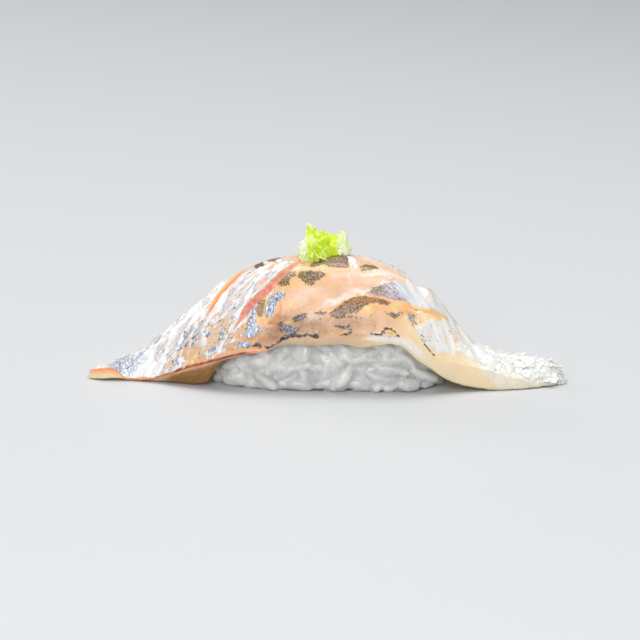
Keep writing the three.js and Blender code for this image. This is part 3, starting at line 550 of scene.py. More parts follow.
# Tan: a browner tint together with painted shade, darker on the lower strip and on the face below
# the front edge in the middle, where less light from above falls.
tan_and_shade = dabs((-10, -17, 2.8, 2.3, 0, 1), (-4, -16.8, 4.8, 2.2, 0, 0.95),
           (3.4, -16.2, 5, 1.9, 8, 0.75), (9, -14.6, 4, 1.6, 16, 0.15),
           (-8.4, -15, 1.6, 1.4, 0, 0.6), (-13.4, -16.9, 3, 1.2, 0, 0.85),
           (-6, -13.6, 3, 0.5, 20, 0.25))
tan_and_shade = np.maximum(tan_and_shade, (1 - ease(along, 4, 12)) * ease(-from_edge, -0.1, 0.5) * front_part
                 * ease(along, -18, -14) * 0.4)
bronze = dabs((7.4, -11.2, 3.6, 0.8, 8, 1), (9, -8.4, 2, 1.2, 25, 0.9), (4, -12, 2, 0.7, 30, 0.8),
              (-13, -11, 0.8, 1.6, 0, 0.6), (-11, 1.6, 5, 3, 10, 0.8), (3, 8.6, 6, 3, 0, 0.6),
              (-14, 9, 4, 3, 0, 0.6))
plum = dabs((1.6, -14.7, 1.8, 0.6, 30, 1), (6, -13, 2.6, 0.5, 22, 0.6),
            (10.6, -10.9, 1.6, 0.5, 15, 0.8), (2.2, -3.6, 1.2, 2, 0, 0.8),
            (-12.8, -12.6, 0.8, 1, 0, 0.6))
# Painted shade: the cut face under the rim of the left wing is coloured dark golden brown, for the
# shade under the overhang.
under_rim_shade = (ease(along, -33, -29) * (1 - ease(along, -19.5, -17)) * front_part
         * ease(-from_edge, 0.1, 0.9) * np.where(skin_side, 0, 1))
beige = dabs((-34, 1.2, 5, 1.3, 25, 0.8), (-27, 2.4, 5, 1.2, 40, 0.9), (-20, 4, 5, 1.4, 40, 0.8),
             (-13, 5, 4, 2, 20, 0.9), (-43, -0.6, 1.6, 1.4, 0, 0.8),
             (-24.6, -5.6, 0.5, 3, 3, 0.5), (-16.6, -6.2, 3.6, 0.8, 42, 0.6),
             (-13.6, -3, 3, 0.6, 45, 0.6), (-11, -2.2, 2.6, 1.4, 42, 0.9),
             (-27.4, -3.4, 1, 1.8, 40, 0.4), (-10, 0, 2, 1.2, 30, 0.6), (9, -1, 4, 1.4, 10, 0.7),
             (14, -1.4, 3, 1.4, 0, 0.6), (0, 5, 12, 2, 0, 0.5))
pearl = dabs((14.4, -6, 3, 2.6, 0, 1), (18.6, -4.6, 2, 2, 0, 0.9), (12, -5, 2, 0.8, 10, 0.6))
# Lines on the silver: thick near the tip, sparse on the bright bands, which on the slope of the
# left wing are a painted highlight.
lines = np.clip(0.5 + dabs((-38, -3.4, 3.8, 3.8, 0, 0.5), (-31, 0.2, 8, 1.4, 35, 0.35),
                           (-27, -7.6, 3, 3, 0, 0.2), (26, -1.4, 1.2, 0.8, 0, 0.4))
                - dabs((-15, -0.6, 6, 3, 42, 0.4), (-33, -7.4, 1.6, 1, 30, 0.45),
                       (-29, -5.8, 3, 1, 30, 0.45), (-25.4, -3.4, 2.2, 1, 50, 0.4),
                       (-16, -4.6, 4.5, 1.2, 40, 0.3), (22, -9, 4, 3, 0, 0.4),
                       (17.5, -4.6, 3, 2, 0, 0.3), (35, -3, 9, 4, 0, 0.5))
                - 0.35 * ease(along, 14, 22) - 0.3 * ease(down, 3, 7), 0, 1)
# The dull crust of the tail end reaches up from its edge, further towards the tip.
reach = 5.2 * ease(along, 25.5, 37)
crust = (ease(along, 24, 31) * ease(from_edge + reach, -0.3, 1.8 - 0.8 * ease(along, 26, 38))
         * np.where(skin_side, 1, np.where((ring_drop < 1)[None, :] & front_part, 0.6, 0)))

# The lie of the streaks: they follow the scores on the left and the wing on the right.
STREAK_SLOPE = [(-45, 0.3), (-38, 0.55), (-30, 0.8), (-22, 0.95), (-16, 0.85), (-8, 0.5),
                (0, 0.3), (8, 0.1), (14, -0.5), (18, -1), (22, -1.1), (26, -0.7), (32, -0.25),
                (45, 0)]
drift = np.cumsum(curve_through(STREAK_SLOPE)(stations)) * (stations[1] - stations[0])
flow = down - drift[:, None]


def streaked(size, seed, stretch=1):
    """Smooth noise drawn out along the streaks."""
    return lumpy(along / stretch, flow, size, seed)


# Relief of the skin: patches stand proud of the flesh, ridges run with the streaks, the
# score lips are rolled back a little, and the thin tail end is frayed. Heights in mm.
LIP_ROLL = 0.14
PATCH_RISE = 0.09
SKIN_RISE = 0.1
WORM_RISE = 0.1
SCRAP_RISE = 0.24
RIM_RISE = 0.1
WING_RIPPLE = 0.22
TIP_CRINKLE = 0.14
relief = -score_depth
lips = np.exp(-(np.minimum(np.abs(in_left), np.abs(in_middle)) / 0.45) ** 2)
relief += LIP_ROLL * lips * ease(along, -25, -22) * (1 - ease(along, -6, -4))
relief += PATCH_RISE * ease(np.maximum.reduce([brown, dusky, blue, haze]), -0.12, 0.12)
foil = streaked(1.25, 71, 1.9) + 0.6 * streaked(0.62, 72, 1.6)
relief += ((0.17 * foil - 0.16 * np.clip(1 - np.abs(foil) / 0.16, 0, 1))
           * ease(skin, 0.3, 0.8) * ease(-along, 6, 12))
worms = np.clip(1 - np.abs(streaked(1.5, 61) + 0.45 * streaked(0.8, 62)) / 0.26, 0, 1) ** 0.6
relief += WORM_RISE * worms * mosaic
relief += SCRAP_RISE * ease(ridge, -0.15, 0.25)
relief += SKIN_RISE * ease(skin, 0.35, 0.65)
ridges = (0.16 * streaked(1.5, 31, 5) + 0.13 * streaked(0.75, 32, 5)
          + 0.06 * streaked(0.4, 38, 4))
relief += ridges * (0.35 + 0.65 * ease(skin, 0.3, 0.8)) * (1 - 0.7 * ease(-bared, 0.4, -0.4))
crinkle = dabs((-38.6, -3.6, 3.4, 3.4, 0, 1))
relief += TIP_CRINKLE * crinkle * (streaked(1.1, 39) + 0.6 * streaked(0.55, 40))
relief += 0.16 * waver(4.5, 33)
relief += 0.07 * waver(1.6, 34)
frays = np.abs(lumpy(along / 1.5, down, 1.3, 35))
relief += crust * (0.4 * frays + 0.22 * np.abs(lumpy(along / 1.6, down, 0.6, 36)) - 0.1)
# Low places between the frays, which the material paints darker: partly painted shade, partly
# see-through flesh.
gap = crust * np.clip(1 - frays / 0.16, 0, 1)
relief += (wing * ease(skin, 0.3, 0.8) * (1 - ease(along, 26, 30)) * WING_RIPPLE
           * streaked(1.7, 63))
relief += RIM_RISE * ease(np.minimum(rim, 1), 0.2, 0.8)
# The cut faces and the flesh side only waver, and everything closes at the two ends.
end_fade = ease(HALF_LENGTH - np.abs(along), 0, 1.5)
relief = np.where(skin_side, relief, 0.08 * waver(1.3, 37)
                  + crust * 0.2 * waver(0.7, 36)) * end_fade

across_way = np.roll(slice_points, -1, axis=1) - np.roll(slice_points, 1, axis=1)
along_way = np.gradient(slice_points, axis=0)
normals = np.cross(along_way, across_way)
normals /= np.linalg.norm(normals, axis=-1, keepdims=True) + 1e-12
if normals[STATIONS // 2, FRONT_SKIN, 2] < 0:
    normals = -normals
slice_points = slice_points + normals * relief[..., None]
slice_points[..., 2] = np.maximum(slice_points[..., 2], LOWEST_FLESH)


def mesh_piece(name, points, faces):
    """A smooth-shaded mesh object from points in millimetres."""
    mesh = bpy.data.meshes.new(name)
    mesh.from_pydata((np.asarray(points) * MM).tolist(), [], faces)
    mesh.polygons.foreach_set("use_smooth", [True] * len(mesh.polygons))
    mesh.update()
    piece = bpy.data.objects.new(name, mesh)
    bpy.context.scene.collection.objects.link(piece)
    return piece


class Heap:
    """Points and faces of many small bodies, gathered for one mesh."""

    def __init__(self):
        self.points, self.faces, self.count = [], [], 0

    def add(self, points, faces):
        self.faces += [[self.count + i for i in face] for face in faces]
        self.points.append(points)
        self.count += len(points)


def scrap_faces(rows, cols):
    """Faces of a thin scrap: rows of points on its upper side, then the same beneath."""
    half = rows * cols
    faces = []
    for p in [i * cols + j for i in range(rows - 1) for j in range(cols - 1)]:
        faces += [[p, p + cols, p + cols + 1, p + 1],
                  [half + p, half + p + 1, half + p + cols + 1, half + p + cols]]
    rim_path = ([i * cols for i in range(rows)]
                + [(rows - 1) * cols + j for j in range(1, cols)]
                + [i * cols + cols - 1 for i in range(rows - 2, -1, -1)]
                + list(range(cols - 2, 0, -1)))
    return faces + [[q, p, half + p, half + q]
                    for p, q in zip(rim_path, rim_path[1:] + rim_path[:1])]


ring = len(ring_across)
corner = np.arange(STATIONS * ring).reshape(STATIONS, ring)
a, b = corner[:-1], np.roll(corner, -1, axis=1)[:-1]
c, d = np.roll(corner, -1, axis=1)[1:], corner[1:]
slice_faces = np.stack([a, d, c, b], -1).reshape(-1, 4).tolist()
ends = [slice_points[0].mean(0), slice_points[-1].mean(0)]
first_end = STATIONS * ring
for k in range(ring):
    n = (k + 1) % ring
    slice_faces.append([first_end, int(corner[0, k]), int(corner[0, n])])
    slice_faces.append([first_end + 1, int(corner[-1, n]), int(corner[-1, k])])

FLAKES = 200
FLAKE_SEED = 8
FLAKE_ROOT = 0.22  # how deep a flake is rooted in the skin


def tail_flakes():
    """Frayed flakes of skin that stand up all over the thin tail end, rooted in it."""
    draw = np.random.RandomState(FLAKE_SEED)
    rows, cols = 4, 3
    s, t = np.meshgrid(np.linspace(0, 1, rows), np.linspace(-0.5, 0.5, cols), indexing="ij")
    heap, places = Heap(), []
    for _ in range(FLAKES):
        x = 44.6 - 16 * draw.uniform() ** 1.4
        size = 0.45 + 0.55 * min(1, (x - 28) / 8)
        i = int(np.searchsorted(stations, x))
        k = int(draw.uniform(0.06, 0.97) * (skin_count - 1))
        up, ahead = normals[i, k], along_way[i, k] / np.linalg.norm(along_way[i, k])
        aside = np.cross(up, ahead)
        yaw, lift = 0.8 * draw.normal(), math.radians(draw.uniform(1, 26))
        ahead, aside = (math.cos(yaw) * ahead + math.sin(yaw) * aside,
                        math.cos(yaw) * aside - math.sin(yaw) * ahead)
        out = math.cos(lift) * ahead + math.sin(lift) * up
        flat = math.cos(lift) * up - math.sin(lift) * ahead
        length, width = size * draw.uniform(0.8, 1.7), size * draw.uniform(0.9, 1.8)
        thick, curl = draw.uniform(0.12, 0.22), draw.uniform(-0.35, 0.35)
        ragged = 1 + 0.4 * draw.uniform(-1, 1, s.shape)
        middle = (slice_points[i, k] - FLAKE_ROOT * up
                  + out * (s * length * (1 + 0.2 * draw.uniform(-1, 1, s.shape)))[..., None]
                  + aside * (t * width * ragged * (1 - 0.45 * s * s))[..., None]
                  + flat * (curl * length * s * s)[..., None])
        body = np.vstack([(middle + flat * thick / 2).reshape(-1, 3),
                          (middle - flat * thick / 2).reshape(-1, 3)])
        body[:, 2] = np.maximum(body[:, 2], LOWEST_FLESH)
        heap.add(body, scrap_faces(rows, cols))
        # Each flake has its own place on the skin map, so that no two look the same.
        place = np.stack([s * length + draw.uniform(100, 200), t * width + draw.uniform(0, 90),
                          0 * s], -1)
        places.append(np.tile(place.reshape(-1, 3), (2, 1)))
    return np.vstack(heap.points), heap.faces, np.vstack(places)


flake_points, flake_faces, flake_places = tail_flakes()
slice_faces += [[first_end + 2 + p for p in face] for face in flake_faces]
slice_piece = mesh_piece("mackerel_slice", np.vstack([
    slice_points.reshape(-1, 3), ends, flake_points]), slice_faces)
# The flakes have sharp facets.
slice_piece.data.polygons.foreach_set("use_smooth", np.arange(
    len(slice_faces)) < len(slice_faces) - len(flake_faces))


def write_mask(piece, name, values):
    """Writes one value for each point of the mesh, which the material reads by name."""
    layer = piece.data.attributes.new(name, "FLOAT", "POINT")
    layer.data.foreach_set("value", np.asarray(values, np.float32))


# What the material reads at each point of the slice.
masks = dict(
    skin=skin, brown=brown, dusky=dusky, blue=blue, haze=haze, amber=amber, salmon=salmon,
    wall=wall, rim=rim, maroon=maroon, rosy=rosy, deep=deep, golden=golden, pale=pale, tan_and_shade=tan_and_shade,
    plum=plum, bronze=bronze, under_rim_shade=under_rim_shade, beige=beige, pearl=pearl, lines=lines, foil=foil,
    mosaic=mosaic, worms=worms, ridge=ridge, crinkle=crinkle, wing=wing, tip_face=tip_face,
    gap=gap, crust=crust, hairline=np.maximum(hairline, freckle),
    drop=np.broadcast_to(ring_drop[None, :], down.shape),
    under=np.broadcast_to((ring_drop >= 0.999)[None, :], down.shape) * 1.0,
    cut_face=np.clip(ease(-from_edge, -2.6, 0.2) * wing + np.where(skin_side, 0.0, 1.0), 0, 1))
SIGNED = ("brown", "dusky", "blue", "haze", "hairline", "ridge")
for name, values in masks.items():
    # The middles of the two ends, then the flakes.
    elsewhere = -1.0 if name in SIGNED else 0.0
    on_flakes = 1.0 if name in ("skin", "crust", "wing") else elsewhere
    write_mask(slice_piece, name, np.append(
        np.clip(values, -3, 3), [elsewhere] + [on_flakes] * (len(flake_points) + 1)))
for name, first, second in (("skin_map", along, down), ("flow", along, flow)):
    layer = slice_piece.data.attributes.new(name, "FLOAT_VECTOR", "POINT")
    layer.data.foreach_set("vector", np.vstack([
        np.stack([first, second, np.zeros_like(down)], -1).reshape(-1, 3),
        np.zeros((2, 3)), flake_places]).astype(np.float32).ravel())


def tint(red, green, blue_part):
    """A colour as seen on screen, 0 to 255, as the shader wants it."""
    return tuple((v / 255 / 12.92) if v / 255 <= 0.04045 else ((v / 255 + 0.055) / 1.055) ** 2.4
                 for v in (red, green, blue_part)) + (1.0,)


class Finish:
    """A material built from nodes, ending in one shader. Its colours are written as seen on
    screen, 0 to 255."""

    def __init__(self, name):
        self.material = bpy.data.materials.new(name)
        self.material.use_nodes = True
        self.tree = self.material.node_tree
        self.tree.nodes.clear()
        output = self.tree.nodes.new("ShaderNodeOutputMaterial")
        self.shader = self.tree.nodes.new("ShaderNodeBsdfPrincipled")
        self.tree.links.new(self.shader.outputs[0], output.inputs[0])

    def put(self, socket, value):
        if isinstance(value, bpy.types.NodeSocket):
            self.tree.links.new(value, socket)
        else:
            socket.default_value = tint(*value) if socket.type == "RGBA" else value

    def node(self, kind, out=0, inputs=(), **settings):
        made = self.tree.nodes.new("ShaderNode" + kind)
        for key, value in settings.items():
            setattr(made, key, value)
        for key, value in dict(inputs).items():
            self.put(made.inputs[key], value)
        return made.outputs[out]

    def mask(self, name):
        return self.node("Attribute", "Fac", attribute_name=name)

    def noise(self, where, scale, detail=3.0, roughness=0.55, warp=0.0):
        return self.node("TexNoise", "Fac", {
            "Vector": where, "Scale": scale, "Detail": detail, "Roughness": roughness,
            "Distortion": warp})

    def stretch(self, where, scale, turn=0.0):
        return self.node("Mapping", 0, {"Vector": where, "Scale": scale,
                                        "Rotation": (0, 0, turn)})

    def ramp(self, value, low, high, start=0.0, end=1.0):
        return self.node("MapRange", 0, {"Value": value, "From Min": low, "From Max": high,
                                         "To Min": start, "To Max": end},
                         interpolation_type="SMOOTHSTEP")

    def math(self, kind, one, two=0.0):
        return self.node("Math", 0, {0: one, 1: two}, operation=kind)

    plus = partialmethod(math, "ADD")
    less = partialmethod(math, "SUBTRACT")
    times = partialmethod(math, "MULTIPLY")
    most = partialmethod(math, "MAXIMUM")

    def sway(self, noise, amount):
        """The noise swung about nought, for torn edges."""
        return self.times(self.less(noise, 0.5), amount)

    def mix(self, share, one, two):
        return self.node("Mix", 2, {0: share, 6: one, 7: two}, data_type="RGBA")

    def blend(self, share, one, two):
        return self.node("Mix", 0, {0: share, 2: one, 3: two})

    def tones(self, noise, low, high, one, two):
        """Changes from one colour to two where the noise passes from low to high."""
        return self.mix(self.ramp(noise, low, high), one, two)

    def bump(self, height, strength, depth):
        return self.node("Bump", 0, {"Height": height, "Strength": strength,
                                     "Distance": depth * MM})

    def surface(self, **looks):
        """Sets the shader's sockets, such as coat_weight, and gives the material."""
        for name, value in looks.items():
            self.put(self.shader.inputs[name.replace("_", " ").title()], value)
        return self.material


def mackerel_finish():
    f = Finish("cured_mackerel")
    place = f.node("Attribute", "Vector", attribute_name="skin_map")
    flow = f.node("Attribute", "Vector", attribute_name="flow")
    broad = f.noise(f.stretch(flow, (0.22, 0.95, 1)), 1.0, 4, 0.62, 0.8)
    thin = f.noise(f.stretch(flow, (0.6, 2.0, 1)), 1.0, 3, 0.62, 0.9)
    hair = f.noise(f.stretch(flow, (1.1, 3.2, 1)), 1.0, 2, 0.6, 0.7)
    mottle = f.noise(place, 1.3, 4, 0.66)
    fine = f.noise(place, 3.4, 3, 0.62)
    grit = f.noise(place, 6.0, 2, 0.6)
    cloud = f.noise(place, 0.4, 2)
    speck = f.noise(place, 2.9, 2, 0.75, 0.4)

    # Bare flesh: golden peach, with soft changes to rosy, deep orange, gold and milk.
    flesh = f.tones(cloud, 0.35, 0.65, (228, 190, 160), (226, 183, 152))
    flesh = f.mix(f.ramp(thin, 0.5, 0.75, 0, 0.25), flesh, (250, 226, 202))
    flesh = f.mix(f.ramp(grit, 0.52, 0.68, 0, 0.4), flesh, (232, 184, 144))
    flesh = f.mix(f.mask("wing"), flesh,
                  f.tones(cloud, 0.4, 0.6, (250, 228, 196), (248, 220, 182)))
    face = f.tones(mottle, 0.35, 0.65, (247, 222, 180), (246, 231, 206))
    bands = f.noise(f.stretch(place, (0.5, 1.6, 1)), 1.0, 2)
    face = f.mix(f.ramp(bands, 0.45, 0.7, 0, 0.5), face, (238, 234, 216))
    flesh = f.mix(f.mask("cut_face"), flesh, face)
    # A gold halo round the patches, then the tints, with painted shade among them on the lower
    # strip and under the left wing's rim, then the cut faces.
    near = f.most(f.most(f.mask("brown"), f.mask("blue")), f.mask("dusky"))
    halo = f.ramp(f.plus(near, f.sway(mottle, 2)), -0.9, -0.1, 0, 0.6)
    flesh = f.mix(halo, flesh, (246, 196, 108))
    for name, colour, colour_two in (
            ("rosy", (241, 182, 158), (243, 194, 174)),
            ("deep", (244, 164, 98), (246, 184, 126)),
            ("golden", (248, 200, 92), (244, 208, 128)),
            ("tan_and_shade", (158, 110, 76), (184, 140, 104)),
            ("under_rim_shade", (140, 96, 40), (160, 116, 54)),
            ("pale", (240, 232, 226), (248, 242, 234)),
            ("salmon", (226, 112, 86), (238, 160, 148)),
            ("rim", (246, 156, 84), (234, 124, 60)),
            ("maroon", (116, 40, 26), (168, 78, 44))):
        flesh = f.mix(f.mask(name), flesh, f.tones(mottle, 0.4, 0.62, colour, colour_two))
    left_part = f.less(1.0, f.mask("wing"))
    by_skin = f.times(f.mask("cut_face"), f.ramp(f.mask("drop"), 0.3, 0.03))
    by_skin = f.times(by_skin, left_part)
    by_skin = f.times(by_skin, f.ramp(mottle, 0.35, 0.55, 0.4, 0.9))
    flesh = f.mix(by_skin, flesh, (232, 168, 128))
    tip = f.tones(f.mask("drop"), 0.05, 0.9, (250, 186, 138), (252, 236, 192))
    flesh = f.mix(f.mask("tip_face"), flesh, tip)
    # Painted shade and highlight in the cuts: dark red at the deep lip where shade falls, orange
    # on the wall, and a pale yellow highlight where the wall comes up.
    amber = f.tones(f.mask("wall"), 0.1, 0.5, (206, 92, 48), (248, 150, 84))
    amber = f.mix(f.ramp(f.mask("wall"), 0.55, 0.95), amber, (252, 190, 122))
    flesh = f.mix(f.mask("amber"), flesh, amber)
    # Painted light: the flesh side is coloured golden in place of the glow of light through the
    # flesh in the shade under the slice.
    under = f.mix(f.mask("wing"), (206, 142, 72), (222, 200, 132))
    flesh = f.mix(f.mask("under"), flesh, under)

    # Silver skin like crumpled foil: white islands, with cream and lilac between them, and dark
    # lines where the foil folds. The lilac between the islands and the dark fold lines are painted
    # shade, laid where the skin's relief dips.
    fold = f.plus(f.mask("foil"), f.sway(thin, 1.6))
    island = f.ramp(fold, -0.12, 0.2)
    hollow_shade = f.tones(f.noise(place, 0.9, 3, 0.6), 0.42, 0.58, (212, 214, 224), (236, 222, 212))
    silver = f.mix(island, hollow_shade, (243, 244, 245))
    bluish = f.ramp(f.plus(f.mask("lines"), f.less(mottle, 0.5)), 0.6, 0.9, 0, 0.9)
    silver = f.mix(bluish, silver, f.mix(island, (164, 172, 190), (218, 223, 230)))
    for size, low, high, most, colour in ((0.8, 0.56, 0.66, 0.7, (248, 222, 204)),
                                          (1.1, 0.6, 0.7, 0.5, (208, 226, 236))):
        blots = f.noise(place, size, 2, 0.6, 0.5)
        silver = f.mix(f.ramp(blots, low, high, 0, most), silver, colour)
    silver = f.mix(f.times(f.mask("beige"), f.ramp(mottle, 0.38, 0.55, 0.2, 0.9)),
                   silver, f.tones(fine, 0.42, 0.6, (208, 188, 168), (240, 226, 208)))
    milky = f.tones(f.noise(place, 0.8, 3, 0.6), 0.42, 0.62, (247, 247, 244), (247, 238, 224))
    silver = f.mix(f.times(f.mask("wing"), 0.9), silver, milky)
    shimmer = f.tones(f.noise(place, 1.0, 2, 0.5), 0.42, 0.52, (232, 222, 234), (212, 230, 228))
    shimmer = f.mix(f.ramp(f.noise(place, 1.3, 2, 0.5), 0.55, 0.62), shimmer, (208, 214, 236))
    silver = f.mix(f.times(f.mask("pearl"), 0.85), silver, shimmer)
    grey = f.plus(f.times(f.less(0.0, f.mask("foil")), 0.12),
                  f.plus(hair, f.times(f.mask("lines"), 0.22)))
    grey = f.times(f.ramp(grey, 0.71, 0.82), left_part)
    silver = f.mix(f.times(grey, 0.85), silver,
                   f.tones(mottle, 0.42, 0.58, (116, 122, 144), (186, 184, 196)))
    # Painted shade: dark lines along the folds of the foil relief.
    fold_shade = f.math("ABSOLUTE", f.plus(fold, 0.1))
    fold_shade = f.times(f.ramp(fold_shade, 0.17, 0.05),
                    f.ramp(f.plus(fine, f.times(f.mask("lines"), 0.16)), 0.56, 0.64))
    fold_shade = f.times(fold_shade, left_part)
    silver = f.mix(f.times(fold_shade, 0.9), silver,
                   f.tones(speck, 0.42, 0.58, (62, 64, 82), (134, 132, 146)))
    hatch = f.noise(f.stretch(place, (3.4, 1.5, 1), 0.35), 1.0, 3, 0.66, 0.6)
    # Painted shade and highlight on the crinkled tip: dark blue-grey crease lines beside white
    # glints.
    crinkle_shade_and_glint = f.tones(hatch, 0.43, 0.5, (92, 100, 124), (182, 190, 204))
    crinkle_shade_and_glint = f.mix(f.ramp(hatch, 0.52, 0.6), crinkle_shade_and_glint, (246, 248, 250))
    silver = f.mix(f.times(f.mask("crinkle"), f.ramp(mottle, 0.36, 0.5, 0.4, 1)),
                   silver, crinkle_shade_and_glint)

    # Skin comes off in slanting streaks; its torn edge is grey.
    limit = f.less(0.96, f.times(f.mask("skin"), 0.92))
    lie = f.plus(f.times(broad, 0.5), f.times(mottle, 0.5))
    lie = f.plus(lie, f.sway(fine, 0.2))
    margin = f.less(lie, limit)
    soft = f.times(f.mask("wing"), 0.2)
    cover = f.node("MapRange", 0, {"Value": margin, "From Min": f.less(-0.012, soft),
                                   "From Max": f.plus(0.012, soft)},
                   interpolation_type="SMOOTHSTEP")
    torn_edge = f.times(f.ramp(margin, -0.03, 0.0), f.ramp(margin, 0.045, 0.005))
    torn_edge = f.times(torn_edge, f.ramp(fine, 0.46, 0.58, 0, 0.7))
    torn_edge = f.times(torn_edge, left_part)
    colour = f.mix(cover, flesh, silver)
    colour = f.mix(torn_edge, colour, (120, 116, 128))

    # Scraps of skin: white ridges and grey-blue scales between bare peach.
    scales = f.ramp(f.plus(mottle, f.sway(fine, 0.5)), 0.57, 0.63)
    scrap = f.tones(fine, 0.4, 0.6, (230, 188, 148), (243, 216, 188))
    scrap = f.mix(scales, scrap, f.tones(speck, 0.4, 0.5, (88, 92, 112), (190, 194, 208)))
    worm = f.plus(f.mask("worms"), f.sway(mottle, 0.9))
    scrap = f.mix(f.ramp(worm, 0.74, 0.86), scrap,
                  f.tones(speck, 0.5, 0.62, (246, 246, 244), (206, 206, 216)))
    reach = f.plus(f.mask("mosaic"), f.sway(mottle, 0.9))
    colour = f.mix(f.ramp(reach, 0.42, 0.56), colour, scrap)

    # The thin tail end is dull white, painted darker and greenish between its frays: partly
    # see-through flesh, partly painted shade.
    tail = f.tones(f.noise(place, 0.9, 3, 0.6), 0.5, 0.62, (241, 242, 239), (226, 229, 210))
    bands = f.noise(f.stretch(place, (0.7, 1.5, 1)), 1.4, 3)
    tail = f.mix(f.ramp(bands, 0.5, 0.62, 0, 0.8), tail, (232, 235, 233))
    tail = f.mix(f.times(f.mask("gap"), 0.4), tail, (212, 217, 200))
    colour = f.mix(f.times(f.mask("crust"), 0.85), colour, tail)

    # Dark back skin left in patches: speckled, with loose dark bits along the torn rim.
    ragged = f.plus(f.sway(mottle, 0.8), f.sway(fine, 0.9))
    plum, bronze, right = f.mask("plum"), f.mask("bronze"), f.mask("wing")
    patch_cover = None
    for name, grain, dark, middle, light in (
            ("blue", hatch, (86, 94, 116), (166, 178, 198), (232, 240, 244)),
            ("dusky", speck, f.mix(right, (46, 42, 46), (122, 110, 112)),
             f.mix(right, (92, 88, 96), (190, 182, 180)),
             f.mix(right, (166, 168, 176), (240, 234, 230))),
            ("haze", speck, f.mix(bronze, (138, 126, 130), (104, 80, 56)),
             f.mix(bronze, (180, 170, 180), (150, 124, 98)),
             f.mix(bronze, (214, 208, 220), (198, 178, 152))),
            ("brown", speck,
             f.mix(bronze, f.mix(plum, (62, 48, 38), (84, 58, 52)), (128, 78, 38)),
             f.mix(bronze, f.mix(plum, (130, 108, 76), (138, 106, 96)), (168, 112, 58)),
             f.mix(bronze, f.mix(plum, (202, 176, 118), (186, 156, 148)),
                   (200, 150, 90)))):
        depth = f.plus(f.mask(name), ragged)
        share = f.ramp(depth, -0.03, 0.06)
        if name == "haze":
            fade = f.plus(f.mask("pearl"), f.less(fine, 0.5))
            share = f.times(share, f.ramp(fade, 0.85, 0.35))
        tone = f.mix(f.ramp(grain, 0.4, 0.49), dark, middle)
        tone = f.mix(f.ramp(grain, 0.53, 0.6), tone, light)
        tone = f.mix(f.times(f.ramp(depth, 0.2, 0.06), f.ramp(fine, 0.46, 0.56, 0, 0.75)),
                     tone, dark)
        colour = f.mix(share, colour, tone)
        if name in ("brown", "dusky"):
            bits = f.times(f.ramp(f.mask(name), -0.7, -0.15), f.ramp(speck, 0.6, 0.66, 0, 0.8))
            colour = f.mix(bits, colour, dark)
        patch_cover = share if patch_cover is None else f.most(patch_cover, share)
    ridge = f.ramp(f.plus(f.mask("ridge"), f.sway(fine, 0.9)), -0.06, 0.06)
    colour = f.mix(ridge, colour, f.tones(speck, 0.5, 0.62, (238, 239, 243), (208, 208, 220)))
    dark = f.ramp(f.plus(f.mask("hairline"), f.sway(grit, 0.4)), -0.04, 0.05)
    colour = f.mix(f.times(dark, 0.95), colour,
                   f.tones(speck, 0.54, 0.64, (34, 26, 26), (110, 104, 106)))

    # Skin is tighter, glossier and less see-through than flesh.
    skin = f.most(patch_cover, cover)
    bright = f.times(skin, f.less(1.0, f.mask("crust")))
    skin = f.most(skin, f.mask("crust"))
    bumps = f.plus(f.times(thin, 0.6), f.plus(f.times(fine, 0.4), f.times(skin, 0.3)))
    bumps = f.plus(bumps, f.times(grit, 0.15))
    return f.surface(
        base_color=colour, metallic=f.times(bright, 0.1), roughness=f.blend(skin, 0.45, 0.34),
        subsurface_weight=f.blend(skin, 0.5, 0.12), subsurface_radius=(1.0, 0.5, 0.3),
        subsurface_scale=1.4 * MM, coat_weight=0.4, coat_roughness=0.16,
        normal=f.bump(bumps, 0.6, 0.18))


slice_piece.data.materials.append(mackerel_finish())
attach(slice_piece, "root")
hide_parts("fish_slice")

# ---- The loaf of rice -----------------------------------------------------------------
# Cooked short rice pressed by hand into a small loaf. Sticky grains hold to each other;
# those outside lie every way and keep their shape.

LOAF_HALF = (21.2, 8.7)
LOAF_SQUARENESS = 3.2
CORE_IN = 0.25  # how far the pressed core lies inside the loaf's outline
CORE_FOOT = 0.3
CORE_SIDES, CORE_LEVELS = 120, 30
GRAIN_LENGTH = 5.6
GRAIN_WIDTH = 2.6
GRAIN_ROWS = 8
ROW_RISE = 1.7
GRAIN_STEP = 3.2
GRAIN_SEED = 23
STICKY = 0.22  # grid at which touching grains run together
RICE_RELIEF = ((2.6, 0.16, 50), (0.9, 0.07, 60), (0.45, 0.035, 70))  # lump, height, seed
OUTLINE_STEPS = 1440
